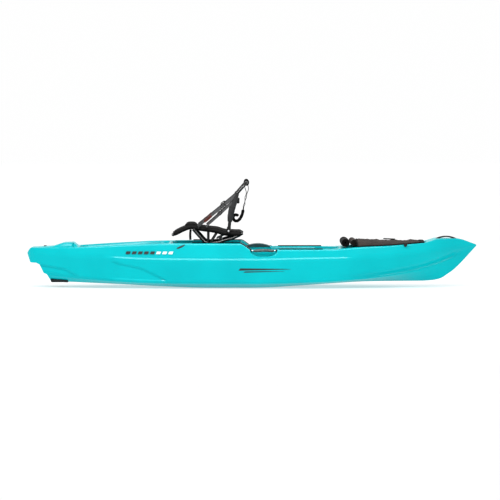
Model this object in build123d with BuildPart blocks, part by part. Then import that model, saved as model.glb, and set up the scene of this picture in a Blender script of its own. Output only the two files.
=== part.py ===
"""Sit-on-top pedal-ready fishing kayak, in millimetres.

+X runs to the bow, +Y to port and +Z up.  The origin is at mid length and mid breadth, level with the
lowest point of the keel.  Lines that run the length of the hull are lists of (share of half length,
value) points, and `along` reads them at any station.
"""

from math import atan2, cos, radians, sin, tan
import os

from build123d import *

os.makedirs("parts", exist_ok=True)

# ---------------------------------------------------------------- driving dimensions
LENGTH = 3710.0
BEAM = 960.0
WALL = 5.0                    # moulded polyethylene
SHEER = 372.0                 # gunwale height beside the seat
WAIST = 322.0                 # gunwale height beside the cockpit's fore part
BOW_DECK = 401.0
TIP_HEIGHT = 349.0
STERN_DECK = 328.0
TUMBLEHOME = 26.0             # lean of the topsides between knuckle and gunwale
MOULD_TOP = 440.0             # the sections run on up to here before the side profile trims them

COCKPIT_AFT = -640.0
COCKPIT_STEP = -80.0          # where the high gunwale beside the seat starts to fall
STEP_RUN = 67.0
COCKPIT_FORE = 700.0
COCKPIT_FLOOR = 130.0
COCKPIT_HALF = BEAM / 2 - 122
LEDGE_Z = 330.0               # side ledges that carry the seat rails
LEDGE_IN = 246.0
LEDGE_OUT = BEAM / 2 - 134
WELL_GAP = 62.0               # deck left between one well and the next
TANK_FLOOR = 188.0
STERN_LAND = 442.0            # stern deck behind the tank well
BOW_FLOOR = 205.0
BOW_LAND = 432.0              # bow deck ahead of the bow well
BOW_WELL_GAP = 84.0
RIM = 78.0                    # gunwale left outside the wells
WELL_DRAFT = 6.0
WELL_FILLET = 26.0

SEAT_HALF = 280.0             # centre plane of each side frame
TUBE_R = 12.5
STRUT_R = 8.0

HALF = LENGTH / 2

# ---------------------------------------------------------------- lines of the hull
BREADTH = [(-1.0, 0.22), (-0.985, 0.32), (-0.95, 0.41), (-0.86, 0.56), (-0.75, 0.70), (-0.6, 0.84),
           (-0.43, 0.935), (-0.2, 0.99), (0.0, 1.0), (0.2, 0.98), (0.4, 0.905), (0.55, 0.795),
           (0.7, 0.62), (0.82, 0.43), (0.92, 0.215), (0.97, 0.10), (1.0, 0.025)]
KNUCKLE = [(-1.0, 285), (-0.7, 262), (-0.4, 240), (0.0, 237), (0.25, 246), (0.4, 250), (0.57, 262),
           (0.73, 290), (0.86, 320), (0.95, 338), (1.0, 347)]
CHINE = [(-1.0, 150), (-0.93, 125), (-0.84, 96), (-0.72, 75), (-0.62, 60), (-0.4, 45), (0.0, 42),
         (0.3, 52), (0.45, 70), (0.59, 98), (0.73, 143), (0.835, 199), (0.93, 275), (1.0, 338)]
CHINE_SHARE = [(-1.0, 0.80), (-0.6, 0.88), (-0.2, 0.91), (0.2, 0.90), (0.45, 0.86), (0.6, 0.76),
               (0.75, 0.60), (0.9, 0.44), (1.0, 0.5)]
FLAT_SHARE = [(-1.0, 0.62), (-0.6, 0.60), (0.0, 0.56), (0.4, 0.40), (0.6, 0.22), (0.75, 0.10),
              (1.0, 0.25)]
KEEL = [(-1.0, 54), (-0.86, 47), (-0.6, 30), (-0.4, 12), (-0.25, 1.5), (-0.18, -1), (-0.02, -1),
        (0.06, 2), (0.2, 16), (0.35, 33), (0.5, 46), (0.65, 48), (0.755, 49), (0.8, 54), (0.84, 69),
        (0.87, 103), (0.9, 143), (1.0, TIP_HEIGHT - 12)]
STATIONS = [-1.0, -0.985, -0.95, -0.86, -0.75, -0.6, -0.4, -0.25, -0.18, -0.02, 0.06, 0.2, 0.35, 0.5,
            0.6, 0.7, 0.755, 0.8, 0.84, 0.87, 0.9, 0.95, 1.0]


def along(line, share):
    """Reads a line at a station: a cubic through its points whose slopes never overshoot."""
    xs = [p[0] for p in line]
    zs = [p[1] for p in line]
    share = min(max(share, xs[0]), xs[-1])
    i = max(k for k in range(len(xs) - 1) if xs[k] <= share)

    def rise(k):
        return (zs[k + 1] - zs[k]) / (xs[k + 1] - xs[k])

    def slope(k):
        if k == 0:
            return rise(0)
        if k == len(xs) - 1:
            return rise(k - 1)
        a, b = rise(k - 1), rise(k)
        return 0.0 if a * b <= 0 else 2 * a * b / (a + b)

    h = xs[i + 1] - xs[i]
    t = (share - xs[i]) / h
    return (zs[i] * (1 + 2 * t) * (1 - t) ** 2 + slope(i) * h * t * (1 - t) ** 2
            + zs[i + 1] * t * t * (3 - 2 * t) - slope(i + 1) * h * t * t * (1 - t))


def half_breadth(x):
    return BEAM / 2 * along(BREADTH, x / HALF)


def gunwale_half(x, z=SHEER):
    """Half breadth of the topsides at height z."""
    share = x / HALF
    lean = TUMBLEHOME * along(BREADTH, share) / (SHEER - 237)
    return max(half_breadth(x) - lean * (z - along(KNUCKLE, share)), 3.0)


def section(x, inset=0.0):
    """Half section from keel to rim as (y, z) points, drawn in by inset for the inner skin."""
    share = x / HALF
    breadth = half_breadth(x)
    chine = breadth * along(CHINE_SHARE, share)
    keel = along(KEEL, share)
    flat = max(chine * along(FLAT_SHARE, share), 4.0)
    points = [(flat, keel), (chine, along(CHINE, share)), (breadth, along(KNUCKLE, share)),
              (gunwale_half(x, MOULD_TOP), MOULD_TOP)]
    if inset:
        drawn = [(y - inset, z + (inset if i < 2 else 0)) for i, (y, z) in enumerate(points)]
        return [(max(y, 1.0), z) for y, z in drawn]
    return points


def moulded_body(stations, inset=0.0):
    """Loft through the full sections at the given stations."""
    with BuildPart() as body:
        for x in stations:
            half = section(x, inset)
            ring = half + [(-y, z) for y, z in reversed(half)]
            with BuildSketch(Plane.YZ.offset(x)):
                with BuildLine():
                    Polyline(*ring, close=True)
                make_face()
        loft(ruled=True)
    return body.part


def side_profile(inset=0.0):
    """Side outline of the hull, drawn in by inset, thick enough to span the beam."""
    stern, bow = -HALF, HALF
    outline = [(stern + 26, 206), (stern, 282), (stern + 22, STERN_DECK),
               (stern + 200, STERN_DECK), (stern + STERN_LAND, STERN_DECK + 9), (stern + 700, 352),
               (COCKPIT_AFT - 200, 367), (COCKPIT_AFT + 40, SHEER), (COCKPIT_STEP, SHEER),
               (COCKPIT_STEP + STEP_RUN, WAIST), (COCKPIT_FORE - 10, WAIST), (COCKPIT_FORE + 180, 341),
               (bow - 718, 350), (bow - BOW_LAND - 5, 370), (bow - 366, 390), (bow - 341, BOW_DECK - 1),
               (bow - 165, BOW_DECK), (bow - 110, 390), (bow, TIP_HEIGHT), (bow, 300),
               (bow - 200, 0), (stern + 200, 0), (stern + 195, 50), (stern + 164, 109),
               (stern + 137, 120), (stern + 104, 190), (stern + 76, 204)]
    with BuildPart() as slab:
        with BuildSketch(Plane.XZ):
            with BuildLine():
                Polyline(*outline, close=True)
            make_face()
            if inset:
                offset(amount=-inset)
        extrude(amount=BEAM, both=True)
    return slab.part


def well(outline, floor, grow=0.0, top=MOULD_TOP + 60, round_corners=60.0):
    """Tapered recess tool over a plan outline, grown by the wall for the inner skin."""
    depth = top - floor + grow
    with BuildPart() as tool:
        with BuildSketch(Plane.XY.offset(floor - grow)) as plan:
            with BuildLine():
                Polyline(*outline, close=True)
            make_face()
            fillet(plan.vertices(), round_corners)
            if grow:
                offset(amount=grow)
        extrude(amount=depth, taper=-WELL_DRAFT)
        if not grow:
            fillet(tool.edges().group_by(Axis.Z)[0], WELL_FILLET)
    return tool.part


def tube(points, radius, bends):
    """Round bar along straight runs joined by tangent arcs."""
    with BuildPart() as bar:
        with BuildLine() as path:
            FilletPolyline(*points, radius=bends)
        line = path.line
        with BuildSketch(Plane(origin=line @ 0, z_dir=line % 0)):
            Circle(radius)
        sweep()
    return bar.part


def rod(start, end, radius):
    """Straight round bar between two points."""
    axis = Vector(*end) - Vector(*start)
    with BuildPart() as bar:
        with BuildSketch(Plane(origin=start, z_dir=axis)):
            Circle(radius)
        extrude(amount=axis.length)
    return bar.part


def ribbon(points, width, thickness, centre_y):
    """Flat webbing that lies in a plane of constant y, along a route of (x, z) points."""
    with BuildPart() as strip:
        with BuildSketch(Plane.XZ.offset(-centre_y)):
            with BuildLine() as route:
                Polyline(*points)
            trace(route.line, width)
        extrude(amount=thickness / 2, both=True)
    return strip.part


def block(low, high, edge=0.0):
    """Box between two corners, its edges rounded by edge."""
    size = [b - a for a, b in zip(low, high)]
    middle = tuple((a + b) / 2 for a, b in zip(low, high))
    with BuildPart() as box:
        with Locations(middle):
            Box(*size)
        if edge:
            fillet(box.edges(), edge)
    return box.part


def both_sides(shape):
    """The starboard shape and its mirror image to port."""
    return {"starboard": shape, "port": shape.mirror(Plane.XZ)}


def keep(shape, name):
    """Labels a finished piece and writes it to its own file."""
    shape.label = name
    export_step(shape, f"parts/{name}.step")


def keep_group(shapes, name):
    keep(Compound(children=[Part(s.wrapped) for s in shapes]), name)


# ---------------------------------------------------------------- hull
tank_aft, tank_fore = -HALF + STERN_LAND, COCKPIT_AFT - WELL_GAP
bow_aft, bow_fore = COCKPIT_FORE + BOW_WELL_GAP, HALF - BOW_LAND
DRIVE_X, DRIVE_LENGTH, DRIVE_HALF = 210.0, 260.0, 55.0      # drive trunk through the hull
SCUPPER_R, SCUPPER_FLANGE = 14.0, 22.0
SCOOP_X, SCOOP_LENGTH, SCOOP_LOW, SCOOP_DEPTH_Y = 95.0, 216.0, WAIST - 60, BEAM / 2 - 58
EYE_SLOT_X, EYE_SLOT_Z, EYE_SLOT_LENGTH, EYE_SLOT_R = -583.0, SHEER - 26, 52.0, 8.0
SKID_AFT, SKID_LENGTH, SKID_HALF = -HALF + 197, 138.0, 42.0
SKID_THICK, SKID_PROUD = 19.0, 9.0


def tapered_outline(aft, fore, rim):
    middle = (aft + fore) / 2
    aft_w, mid_w, fore_w = (gunwale_half(x) - rim for x in (aft, middle, fore))
    return [(aft, -aft_w), (middle, -mid_w), (fore, -fore_w), (fore, fore_w), (middle, mid_w), (aft, aft_w)]


FOOT_TAPER_X, FOOT_END_HALF = COCKPIT_FORE - 180, COCKPIT_HALF - 123
SEAT_WELL_HALF, SEAT_WELL_FORE = LEDGE_IN - 24, COCKPIT_STEP + 200
foot_outline = [(COCKPIT_STEP, -COCKPIT_HALF), (FOOT_TAPER_X, -COCKPIT_HALF),
                (COCKPIT_FORE, -FOOT_END_HALF), (COCKPIT_FORE, FOOT_END_HALF),
                (FOOT_TAPER_X, COCKPIT_HALF), (COCKPIT_STEP, COCKPIT_HALF)]
seat_outline = [(COCKPIT_AFT, -SEAT_WELL_HALF), (SEAT_WELL_FORE, -SEAT_WELL_HALF),
                (SEAT_WELL_FORE, SEAT_WELL_HALF), (COCKPIT_AFT, SEAT_WELL_HALF)]
ledge_outline = [(COCKPIT_AFT, -LEDGE_OUT), (COCKPIT_STEP + 100, -LEDGE_OUT),
                 (COCKPIT_STEP + 100, LEDGE_OUT), (COCKPIT_AFT, LEDGE_OUT)]
scuppers = [(-560, 150, COCKPIT_FLOOR), (30, 270, COCKPIT_FLOOR), (470, 250, COCKPIT_FLOOR),
            (tank_aft + 150, 120, TANK_FLOOR), (bow_aft + 90, 150, BOW_FLOOR)]
scuppers = [(x, side * y, floor) for x, y, floor in scuppers for side in (-1, 1)]


def wells(grow):
    """Every recess the deck has, as one tool."""
    tool = well(tapered_outline(tank_aft, tank_fore, RIM + 14), TANK_FLOOR, grow)
    tool += well(seat_outline, COCKPIT_FLOOR, grow)
    tool += well(foot_outline, COCKPIT_FLOOR, grow)
    tool += well(ledge_outline, LEDGE_Z, grow, round_corners=40)
    tool += well(tapered_outline(bow_aft, bow_fore, RIM + 10), BOW_FLOOR, grow)
    for x, y, floor in scuppers:
        tool += rod((x, y, -60), (x, y, floor + 1), SCUPPER_R + grow)
    with BuildPart() as trunk:
        with BuildSketch(Plane.XY.offset(-60)):
            with Locations((DRIVE_X, 0)):
                RectangleRounded(DRIVE_LENGTH + 2 * grow, 2 * (DRIVE_HALF + grow), 40)
        extrude(amount=60 + COCKPIT_FLOOR + 1)
    with BuildPart() as scoops:
        for side in (-1, 1):
            with BuildSketch(Plane.XZ.offset(-side * (SCOOP_DEPTH_Y - grow))):
                with Locations((SCOOP_X, (SCOOP_LOW + 400) / 2)):
                    RectangleRounded(SCOOP_LENGTH + 2 * grow, 400 - SCOOP_LOW + 2 * grow, 24)
                with Locations(Location((EYE_SLOT_X, EYE_SLOT_Z), 20)):
                    SlotCenterToCenter(EYE_SLOT_LENGTH, 2 * (EYE_SLOT_R + grow))
            extrude(amount=-side * 80)
    return tool + trunk.part + scoops.part


def skid_space(grow=0.0):
    """Room under the stern for the skid plate."""
    keel = along(KEEL, (SKID_AFT + SKID_LENGTH / 2) / HALF)
    low = keel - SKID_PROUD
    return block((SKID_AFT - 20, -SKID_HALF - grow, low - 60 * (not grow) - grow),
                 (SKID_AFT + SKID_LENGTH + grow, SKID_HALF + grow, low + SKID_THICK + grow))


hump = [(-HALF + 215, STERN_DECK - 10), (-HALF + 215, STERN_DECK + 6), (-HALF + 302, 364),
        (-HALF + 381, 366), (-HALF + 424, STERN_DECK + 8), (-HALF + 424, STERN_DECK - 10)]
with BuildPart() as stern_hump:
    with BuildSketch(Plane.XZ):
        with BuildLine():
            Polyline(*hump, close=True)
        make_face()
    extrude(amount=150, both=True)
    chamfer(stern_hump.faces().group_by(Axis.Z)[-1].edges().filter_by(Axis.Y, reverse=True), 20)

inner_stations = [HALF * s for s in STATIONS if -0.99 < s < 0.96]
cavity = moulded_body(inner_stations, WALL) & side_profile(WALL)
cavity -= wells(WALL)
cavity -= skid_space(WALL)
hull = (moulded_body([HALF * s for s in STATIONS]) & side_profile()) + stern_hump.part
hull -= wells(0.0)
hull -= skid_space()
hull -= cavity

# threaded inserts for a stern bracket, let into the flat stern deck
INSERT_R, INSERT_HOLE_R, INSERT_DEEP, INSERT_PITCH = 6.0, 3.0, 4.0, 60.0
INSERT_X = -HALF + 85
with BuildPart() as insert_pockets:
    with BuildSketch(Plane.XY.offset(STERN_DECK - INSERT_DEEP)):
        with Locations((INSERT_X, 0)):
            with GridLocations(INSERT_PITCH, INSERT_PITCH, 2, 2):
                Circle(INSERT_R)
    extrude(amount=INSERT_DEEP + 10)
hull -= insert_pockets.part
keep(hull, "hull_shell")

with BuildPart() as inserts:
    with BuildSketch(Plane.XY.offset(STERN_DECK - INSERT_DEEP)):
        with Locations((INSERT_X, 0)):
            with GridLocations(INSERT_PITCH, INSERT_PITCH, 2, 2):
                Circle(INSERT_R)
                Circle(INSERT_HOLE_R, mode=Mode.SUBTRACT)
    extrude(amount=INSERT_DEEP)
keep_group(inserts.part.solids(), "stern_inserts")

# ---------------------------------------------------------------- hull fittings
SKID_PLAY = 0.5
skid_low = along(KEEL, (SKID_AFT + SKID_LENGTH / 2) / HALF) - SKID_PROUD
skid = skid_space() & block((SKID_AFT + SKID_PLAY, -SKID_HALF + SKID_PLAY, skid_low),
                            (SKID_AFT + SKID_LENGTH - SKID_PLAY, SKID_HALF - SKID_PLAY, SHEER))
skid_screws = []
for x in (SKID_AFT + 25, SKID_AFT + SKID_LENGTH - 25):
    for y in (-24, 24):
        skid -= rod((x, y, skid_low - 1), (x, y, skid_low + 5), 7.1)
        skid_screws.append(rod((x, y, skid_low + 1), (x, y, skid_low + 5), 7))
keep(skid, "skid_plate")
keep_group(skid_screws, "skid_plate_screws")

# closed-cell foam blocks wedged inside the ends
foam_stern = block((-HALF + 250, -90, 110), (-HALF + 420, 90, 300), 8)
foam_bow = block((HALF - 410, -45, 235), (HALF - 250, 45, 350), 8)
keep(foam_stern, "foam_block_stern")
keep(foam_bow, "foam_block_bow")

plugs = []
for x, y, floor in scuppers:
    flange = rod((x, y, floor), (x, y, floor + 3), SCUPPER_FLANGE)
    stem = rod((x, y, floor - 40), (x, y, floor), SCUPPER_R - 0.2)
    plugs.append(flange + stem)
keep_group(plugs, "scupper_plugs")

RAIL_AFT, RAIL_LENGTH, RAIL_HALF = -560.0, 470.0, 18.0
rail_profile = [(-RAIL_HALF, 0), (RAIL_HALF, 0), (RAIL_HALF, 3), (5, 3), (5, 9), (12, 9), (12, 14),
                (-12, 14), (-12, 9), (-5, 9), (-5, 3), (-RAIL_HALF, 3)]


def bar_along_x(profile, start, length, y, z):
    """Straight extrusion along X of a (y, z) outline placed at y, z."""
    with BuildPart() as bar:
        with BuildSketch(Plane.YZ.offset(start)):
            with BuildLine():
                Polyline(*[(y + a, z + b) for a, b in profile], close=True)
            make_face()
        extrude(amount=length)
    return bar.part


def screws(points, radius, height, into=0.0):
    """Pan-head screws standing on points."""
    return [rod((x, y, z - into), (x, y, z + height), radius) for x, y, z in points]


TRACK_HALF, TRACK_HIGH = 15.0, 7.0
track_profile = [(-TRACK_HALF, 0), (TRACK_HALF, 0), (TRACK_HALF, TRACK_HIGH), (4.5, TRACK_HIGH),
                 (4.5, TRACK_HIGH - 2), (9, TRACK_HIGH - 2), (9, 2), (-9, 2), (-9, TRACK_HIGH - 2),
                 (-4.5, TRACK_HIGH - 2), (-4.5, TRACK_HIGH), (-TRACK_HALF, TRACK_HIGH)]
TRACK_AFT_Y, TRACK_FORE_Y = BEAM / 2 - 81, BEAM / 2 - 73
# start, length, distance off the centre line, height
tracks = {"aft": (-490.0, 400.0, TRACK_AFT_Y, SHEER), "fore": (218.0, 360.0, TRACK_FORE_Y, WAIST)}
track_screws = []
for side, sign in (("starboard", -1), ("port", 1)):
    rail = bar_along_x(rail_profile, RAIL_AFT, RAIL_LENGTH, sign * SEAT_HALF, LEDGE_Z)
    keep(rail, f"seat_rail_{side}")
    for end, (start, length, y, z) in tracks.items():
        keep(bar_along_x(track_profile, start, length, sign * y, z), f"gear_track_{end}_{side}")
        for k in range(4):
            x = start + 20 + k * (length - 40) / 3
            track_screws += screws([(x, sign * y, z + 2)], 3.6, 2.4)
keep_group(track_screws, "gear_track_screws")
rail_screws = []
for sign in (-1, 1):
    for k in range(4):
        for dy in (-14.5, 14.5):
            x = RAIL_AFT + 20 + k * (RAIL_LENGTH - 40) / 3
            rail_screws += screws([(x, sign * SEAT_HALF + dy, LEDGE_Z + 3)], 3.2, 2)
keep_group(rail_screws, "seat_rail_screws")

# rigid arched carry handle on the bow deck
GRAB_FOOT = 34.0
GRAB_X, GRAB_LENGTH, GRAB_HIGH, GRAB_THICK, GRAB_HALF = HALF - 250, 172.0, 20.0, 10.0, 15.0
with BuildPart() as bow_handle:
    with BuildSketch(Plane.XZ.offset(-GRAB_HALF)):
        with BuildLine():
            a = GRAB_X - GRAB_LENGTH / 2
            b = GRAB_X + GRAB_LENGTH / 2
            under = BOW_DECK + GRAB_HIGH - GRAB_THICK
            Line((a, BOW_DECK), (a + GRAB_FOOT, BOW_DECK))
            ThreePointArc((a + GRAB_FOOT, BOW_DECK), (GRAB_X, under), (b - GRAB_FOOT, BOW_DECK))
            Line((b - GRAB_FOOT, BOW_DECK), (b, BOW_DECK))
            ThreePointArc((b, BOW_DECK), (GRAB_X, BOW_DECK + GRAB_HIGH), (a, BOW_DECK))
        make_face()
    extrude(amount=2 * GRAB_HALF)
keep(bow_handle.part, "bow_handle")

# carry handles beside the cockpit
GRIP_R, GRIP_Y, GRIP_Z = 10.0, BEAM / 2 - 25, WAIST - 13
PIN_Z, PIN_R = WAIST - 8, 4.0
post_x = SCOOP_LENGTH / 2 - 5
grip_line = [(SCOOP_X - post_x + 10, GRIP_Y, PIN_Z), (SCOOP_X - 70, GRIP_Y, GRIP_Z),
             (SCOOP_X + 70, GRIP_Y, GRIP_Z), (SCOOP_X + post_x - 10, GRIP_Y, PIN_Z)]
grip = tube([(x, -y, z) for x, y, z in grip_line], GRIP_R, 60)
pin_pair = []
post_pair = []
for side in (-1, 1):
    inner = SCOOP_X + side * (post_x - 9)
    outer = SCOOP_X + side * (post_x + 4)
    pin = rod((SCOOP_X + side * (post_x - 24), -GRIP_Y, PIN_Z), (outer, -GRIP_Y, PIN_Z), PIN_R)
    grip -= rod((SCOOP_X + side * (post_x - 26), -GRIP_Y, PIN_Z),
                (SCOOP_X + side * (post_x + 9), -GRIP_Y, PIN_Z), PIN_R + 0.05)
    low_x, high_x = sorted((SCOOP_X + side * (post_x - 7), outer))
    post = block((low_x, -GRIP_Y - 9, PIN_Z - 9), (high_x, -SCOOP_DEPTH_Y, PIN_Z + 8))
    post_pair.append(post - rod((inner, -GRIP_Y, PIN_Z), (outer + 9 * side, -GRIP_Y, PIN_Z), PIN_R))
    pin_pair.append(pin)
for side, shape in both_sides(grip).items():
    keep(shape, f"handle_grip_{side}")
for name, pair in (("handle_brackets", post_pair), ("handle_pins", pin_pair)):
    keep_group([both_sides(p)[side] for p in pair for side in ("starboard", "port")], name)

# foot braces on the cockpit walls
BRACE_X, BRACE_LENGTH, BRACE_Z, BRACE_HIGH, BRACE_DEEP = 210.0, 290.0, 190.0, 22.0, 14.0


def cockpit_wall(z):
    return COCKPIT_HALF + (z - COCKPIT_FLOOR) * tan(radians(WELL_DRAFT))


brace_in = cockpit_wall(BRACE_Z) - BRACE_DEEP
brace_mid = BRACE_Z + BRACE_HIGH / 2
brace_top = BRACE_Z + BRACE_HIGH
brace_profile = [(cockpit_wall(BRACE_Z), BRACE_Z), (cockpit_wall(brace_top), brace_top),
                 (brace_in, brace_top), (brace_in, brace_mid + 4), (brace_in + 6, brace_mid + 4),
                 (brace_in + 6, brace_mid - 4), (brace_in, brace_mid - 4), (brace_in, BRACE_Z)]
PEDAL_X, PEDAL_THICK, PEDAL_WIDE = 350.0, 14.0, 66.0
PEDAL_LOW, PEDAL_HIGH = 158.0, 290.0
pedal = block((PEDAL_X, brace_in - 1.5 - PEDAL_WIDE, PEDAL_LOW),
              (PEDAL_X + PEDAL_THICK, brace_in - 1.5, PEDAL_HIGH), 5)
pedal += block((PEDAL_X - 8, brace_in - 14, BRACE_Z + 2), (PEDAL_X + 40, brace_in - 1, brace_top - 2))
pedal += block((PEDAL_X - 8, brace_in - 1, brace_mid - 3.7), (PEDAL_X + 40, brace_in + 5.7, brace_mid + 3.7))
brace = bar_along_x(brace_profile, BRACE_X, BRACE_LENGTH, 0, 0)
for side, mirrored in (("port", False), ("starboard", True)):
    keep(brace.mirror(Plane.XZ) if mirrored else brace, f"foot_brace_rail_{side}")
    keep(pedal.mirror(Plane.XZ) if mirrored else pedal, f"foot_pedal_{side}")

# ---------------------------------------------------------------- console in the drive trunk
CON_AFT, CON_SPLIT, CON_FORE, CON_HALF = -45.0, 145.0, 385.0, 80.0
CON_BIN_TOP, CON_DECK_TOP, CON_WALL, CON_GAP = 330.0, 298.0, 4.0, 2.0
CON_BASE = COCKPIT_FLOOR + 0.3
trunk_low, trunk_high = DRIVE_X - DRIVE_LENGTH / 2, DRIVE_X + DRIVE_LENGTH / 2
PLUG_LOW = 24.0
console = block((CON_AFT, -CON_HALF, CON_BASE), (CON_SPLIT, CON_HALF, CON_BIN_TOP))
console = fillet(console.edges().filter_by(Axis.Z), 14)
console += block((CON_SPLIT - 20, -CON_HALF, CON_BASE), (CON_FORE, CON_HALF, CON_DECK_TOP), 14) \
    - block((CON_SPLIT - 30, -CON_HALF - 9, 0), (CON_SPLIT - 15, CON_HALF + 9, 400))
with BuildPart() as plug:
    with BuildSketch(Plane.XY.offset(PLUG_LOW)):
        with Locations((DRIVE_X, 0)):
            RectangleRounded(DRIVE_LENGTH - 2 * CON_GAP, 2 * (DRIVE_HALF - CON_GAP), 38)
    extrude(amount=CON_BASE + 20 - PLUG_LOW)
console += plug.part
console -= block((CON_AFT + CON_WALL, -CON_HALF + CON_WALL, CON_BASE + 6),
                 (CON_SPLIT - CON_WALL, CON_HALF - CON_WALL, CON_BIN_TOP + 9), 3)
console -= block((CON_SPLIT + CON_WALL, -CON_HALF + CON_WALL, CON_BASE + 6),
                 (CON_FORE - CON_WALL, CON_HALF - CON_WALL, CON_DECK_TOP - CON_WALL), 3)
console -= block((trunk_low + 20, -DRIVE_HALF + 14, PLUG_LOW + CON_WALL),
                 (trunk_high - 20, DRIVE_HALF - 14, CON_BASE + 1), 3)
HINGE_X, HINGE_Z, HINGE_R, HINGE_HALF = CON_SPLIT + 9, CON_BIN_TOP + 5, 3.0, 56.0
ears = []
for side in (-1, 1):
    ear = block((CON_SPLIT - 4, side * (HINGE_HALF + 5) - 4, CON_DECK_TOP - 1),
                (HINGE_X + 6, side * (HINGE_HALF + 5) + 4, HINGE_Z + 6))
    console += ear
hinge_line = ((HINGE_X, -HINGE_HALF - 9, HINGE_Z), (HINGE_X, HINGE_HALF + 9, HINGE_Z))
console -= rod(*hinge_line, HINGE_R)
keep(console, "console_body")
keep(rod(*hinge_line, HINGE_R), "console_hinge_pin")

lid_rise = 358 - CON_BIN_TOP


def lid_arch(inset, low):
    """Arched outline of the lid in the XZ plane."""
    a, b = CON_AFT - 4 + inset, CON_SPLIT + 2 - inset
    with BuildPart() as arch:
        with BuildSketch(Plane.XZ):
            with BuildLine():
                Polyline((a, low + 8), (a, low), (b, low), (b, low + 8))
                ThreePointArc((b, low + 8), ((a + b) / 2, CON_BIN_TOP + lid_rise - inset), (a, low + 8))
            make_face()
        extrude(amount=CON_HALF + 3 - inset, both=True)
    return arch.part


lid = lid_arch(0, CON_BIN_TOP + 0.3) - lid_arch(4, CON_BIN_TOP - 1)
lid_tab = block((CON_SPLIT - 1.5, -HINGE_HALF, CON_BIN_TOP + 0.3), (HINGE_X + 5, HINGE_HALF, HINGE_Z + 5))
for side in (-1, 1):
    lid -= block((CON_SPLIT - 5, side * (HINGE_HALF + 5) - 4.5, CON_BIN_TOP - 5),
                 (CON_SPLIT + 9, side * (HINGE_HALF + 5) + 4.5, HINGE_Z + 7))
lid = (lid + lid_tab) - rod(*hinge_line, HINGE_R + 0.05)
keep(lid, "console_lid")

# ---------------------------------------------------------------- bow well cover
deck_line = [(COCKPIT_FORE - 10, WAIST), (COCKPIT_FORE + 180, 341), (HALF - 718, 350),
             (HALF - BOW_LAND - 5, 370)]


def deck_height(x):
    """Straight stretches of the fore deck's side profile."""
    for (xa, za), (xb, zb) in zip(deck_line, deck_line[1:]):
        if x <= xb:
            return za + (zb - za) * (x - xa) / (xb - xa)
    return deck_line[-1][1]


COVER_STATIONS = [(COCKPIT_FORE + 165, 54), (COCKPIT_FORE + 180, 52), (HALF - 900, 46), (HALF - 718, 34),
                  (HALF - 580, 27), (HALF - BOW_LAND - 12, 15)]
COVER_THICK, COVER_LAP = 5.0, 14.0


def cover_half(x):
    return gunwale_half(x, deck_height(x)) - COVER_LAP


with BuildPart() as bow_cover:
    for x, crown in COVER_STATIONS:
        w, z = cover_half(x), deck_height(x) + 0.3
        with BuildSketch(Plane.YZ.offset(x)):
            with BuildLine():
                ThreePointArc((-w, z), (0, z + crown - COVER_THICK), (w, z))
                Line((w, z), (w, z + COVER_THICK))
                ThreePointArc((w, z + COVER_THICK), (0, z + crown), (-w, z + COVER_THICK))
                Line((-w, z + COVER_THICK), (-w, z))
            make_face()
    loft(ruled=True)
keep(bow_cover.part, "bow_cover")

ROLL_R, ROLL_X = (36.0, 30.0), (COCKPIT_FORE + 64, COCKPIT_FORE + 131)
rolls = []
for r, x in zip(ROLL_R, ROLL_X):
    half = cover_half(x) - 2
    z = deck_height(x + r) + r + 3
    rolls.append(fillet(rod((x, -half, z), (x, half, z), r).edges().filter_by(GeomType.CIRCLE), 10))
keep_group(rolls, "bow_cover_roll")

# side catches that hold the cover down, hooked over the gunwale
CATCH_X, CATCH_LONG, CATCH_DROP = HALF - 596, 46.0, 34.0
catch_y = gunwale_half(CATCH_X, deck_height(CATCH_X))
catches = []
for sign in (-1, 1):
    with BuildPart() as catch:
        with BuildSketch(Plane.XZ.offset(-sign * (catch_y + 8))):
            with BuildLine():
                top = deck_height(CATCH_X) + COVER_THICK + 9
                Polyline((CATCH_X - CATCH_LONG / 2, top), (CATCH_X + CATCH_LONG / 2, top),
                         (CATCH_X + 5, top - CATCH_DROP), (CATCH_X - 5, top - CATCH_DROP), close=True)
            make_face()
        extrude(amount=-sign * 7)
    catches.append(catch.part)
keep_group(catches, "bow_cover_catches")
TOGGLE_AFT, TOGGLE_FORE, TOGGLE_R = (CATCH_X - 172, 49.0), (CATCH_X - 75, 40.0), 5.0
toggle_ends = [(x, 0, deck_height(x) + lift) for x, lift in (TOGGLE_AFT, TOGGLE_FORE)]
keep(rod(*toggle_ends, TOGGLE_R), "bow_cover_toggle")

# screw-in drain plug on the stern deck
DRAIN_X, DRAIN_Y, DRAIN_R = -HALF + 140, 62.0, 14.0
drain = rod((DRAIN_X, DRAIN_Y, STERN_DECK + 0.3), (DRAIN_X, DRAIN_Y, STERN_DECK + 6), DRAIN_R)
drain += block((DRAIN_X - 11, DRAIN_Y - 2.5, STERN_DECK + 5),
               (DRAIN_X + 11, DRAIN_Y + 2.5, STERN_DECK + 12), 1)
keep(drain, "drain_plug")

# ---------------------------------------------------------------- seat
upper_line = [(-655, 436), (-554, 485), (-502, 502), (-435, 490), (-359, 480), (-293, 471), (-226, 452),
              (-160, 447), (-84, 445)]
lower_line = [(-484, 484), (-392, 381), (-359, 367), (-273, 376), (-217, 395), (-160, 409), (-100, 436)]
strut_lines = [((-362, 478), (-362, 371)), ((-283, 464), (-340, 372)), ((-240, 452), (-273, 378))]


def side_tube(line, radius, bends, y=-SEAT_HALF):
    return tube([(x, y, z) for x, z in line], radius, bends)


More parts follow.
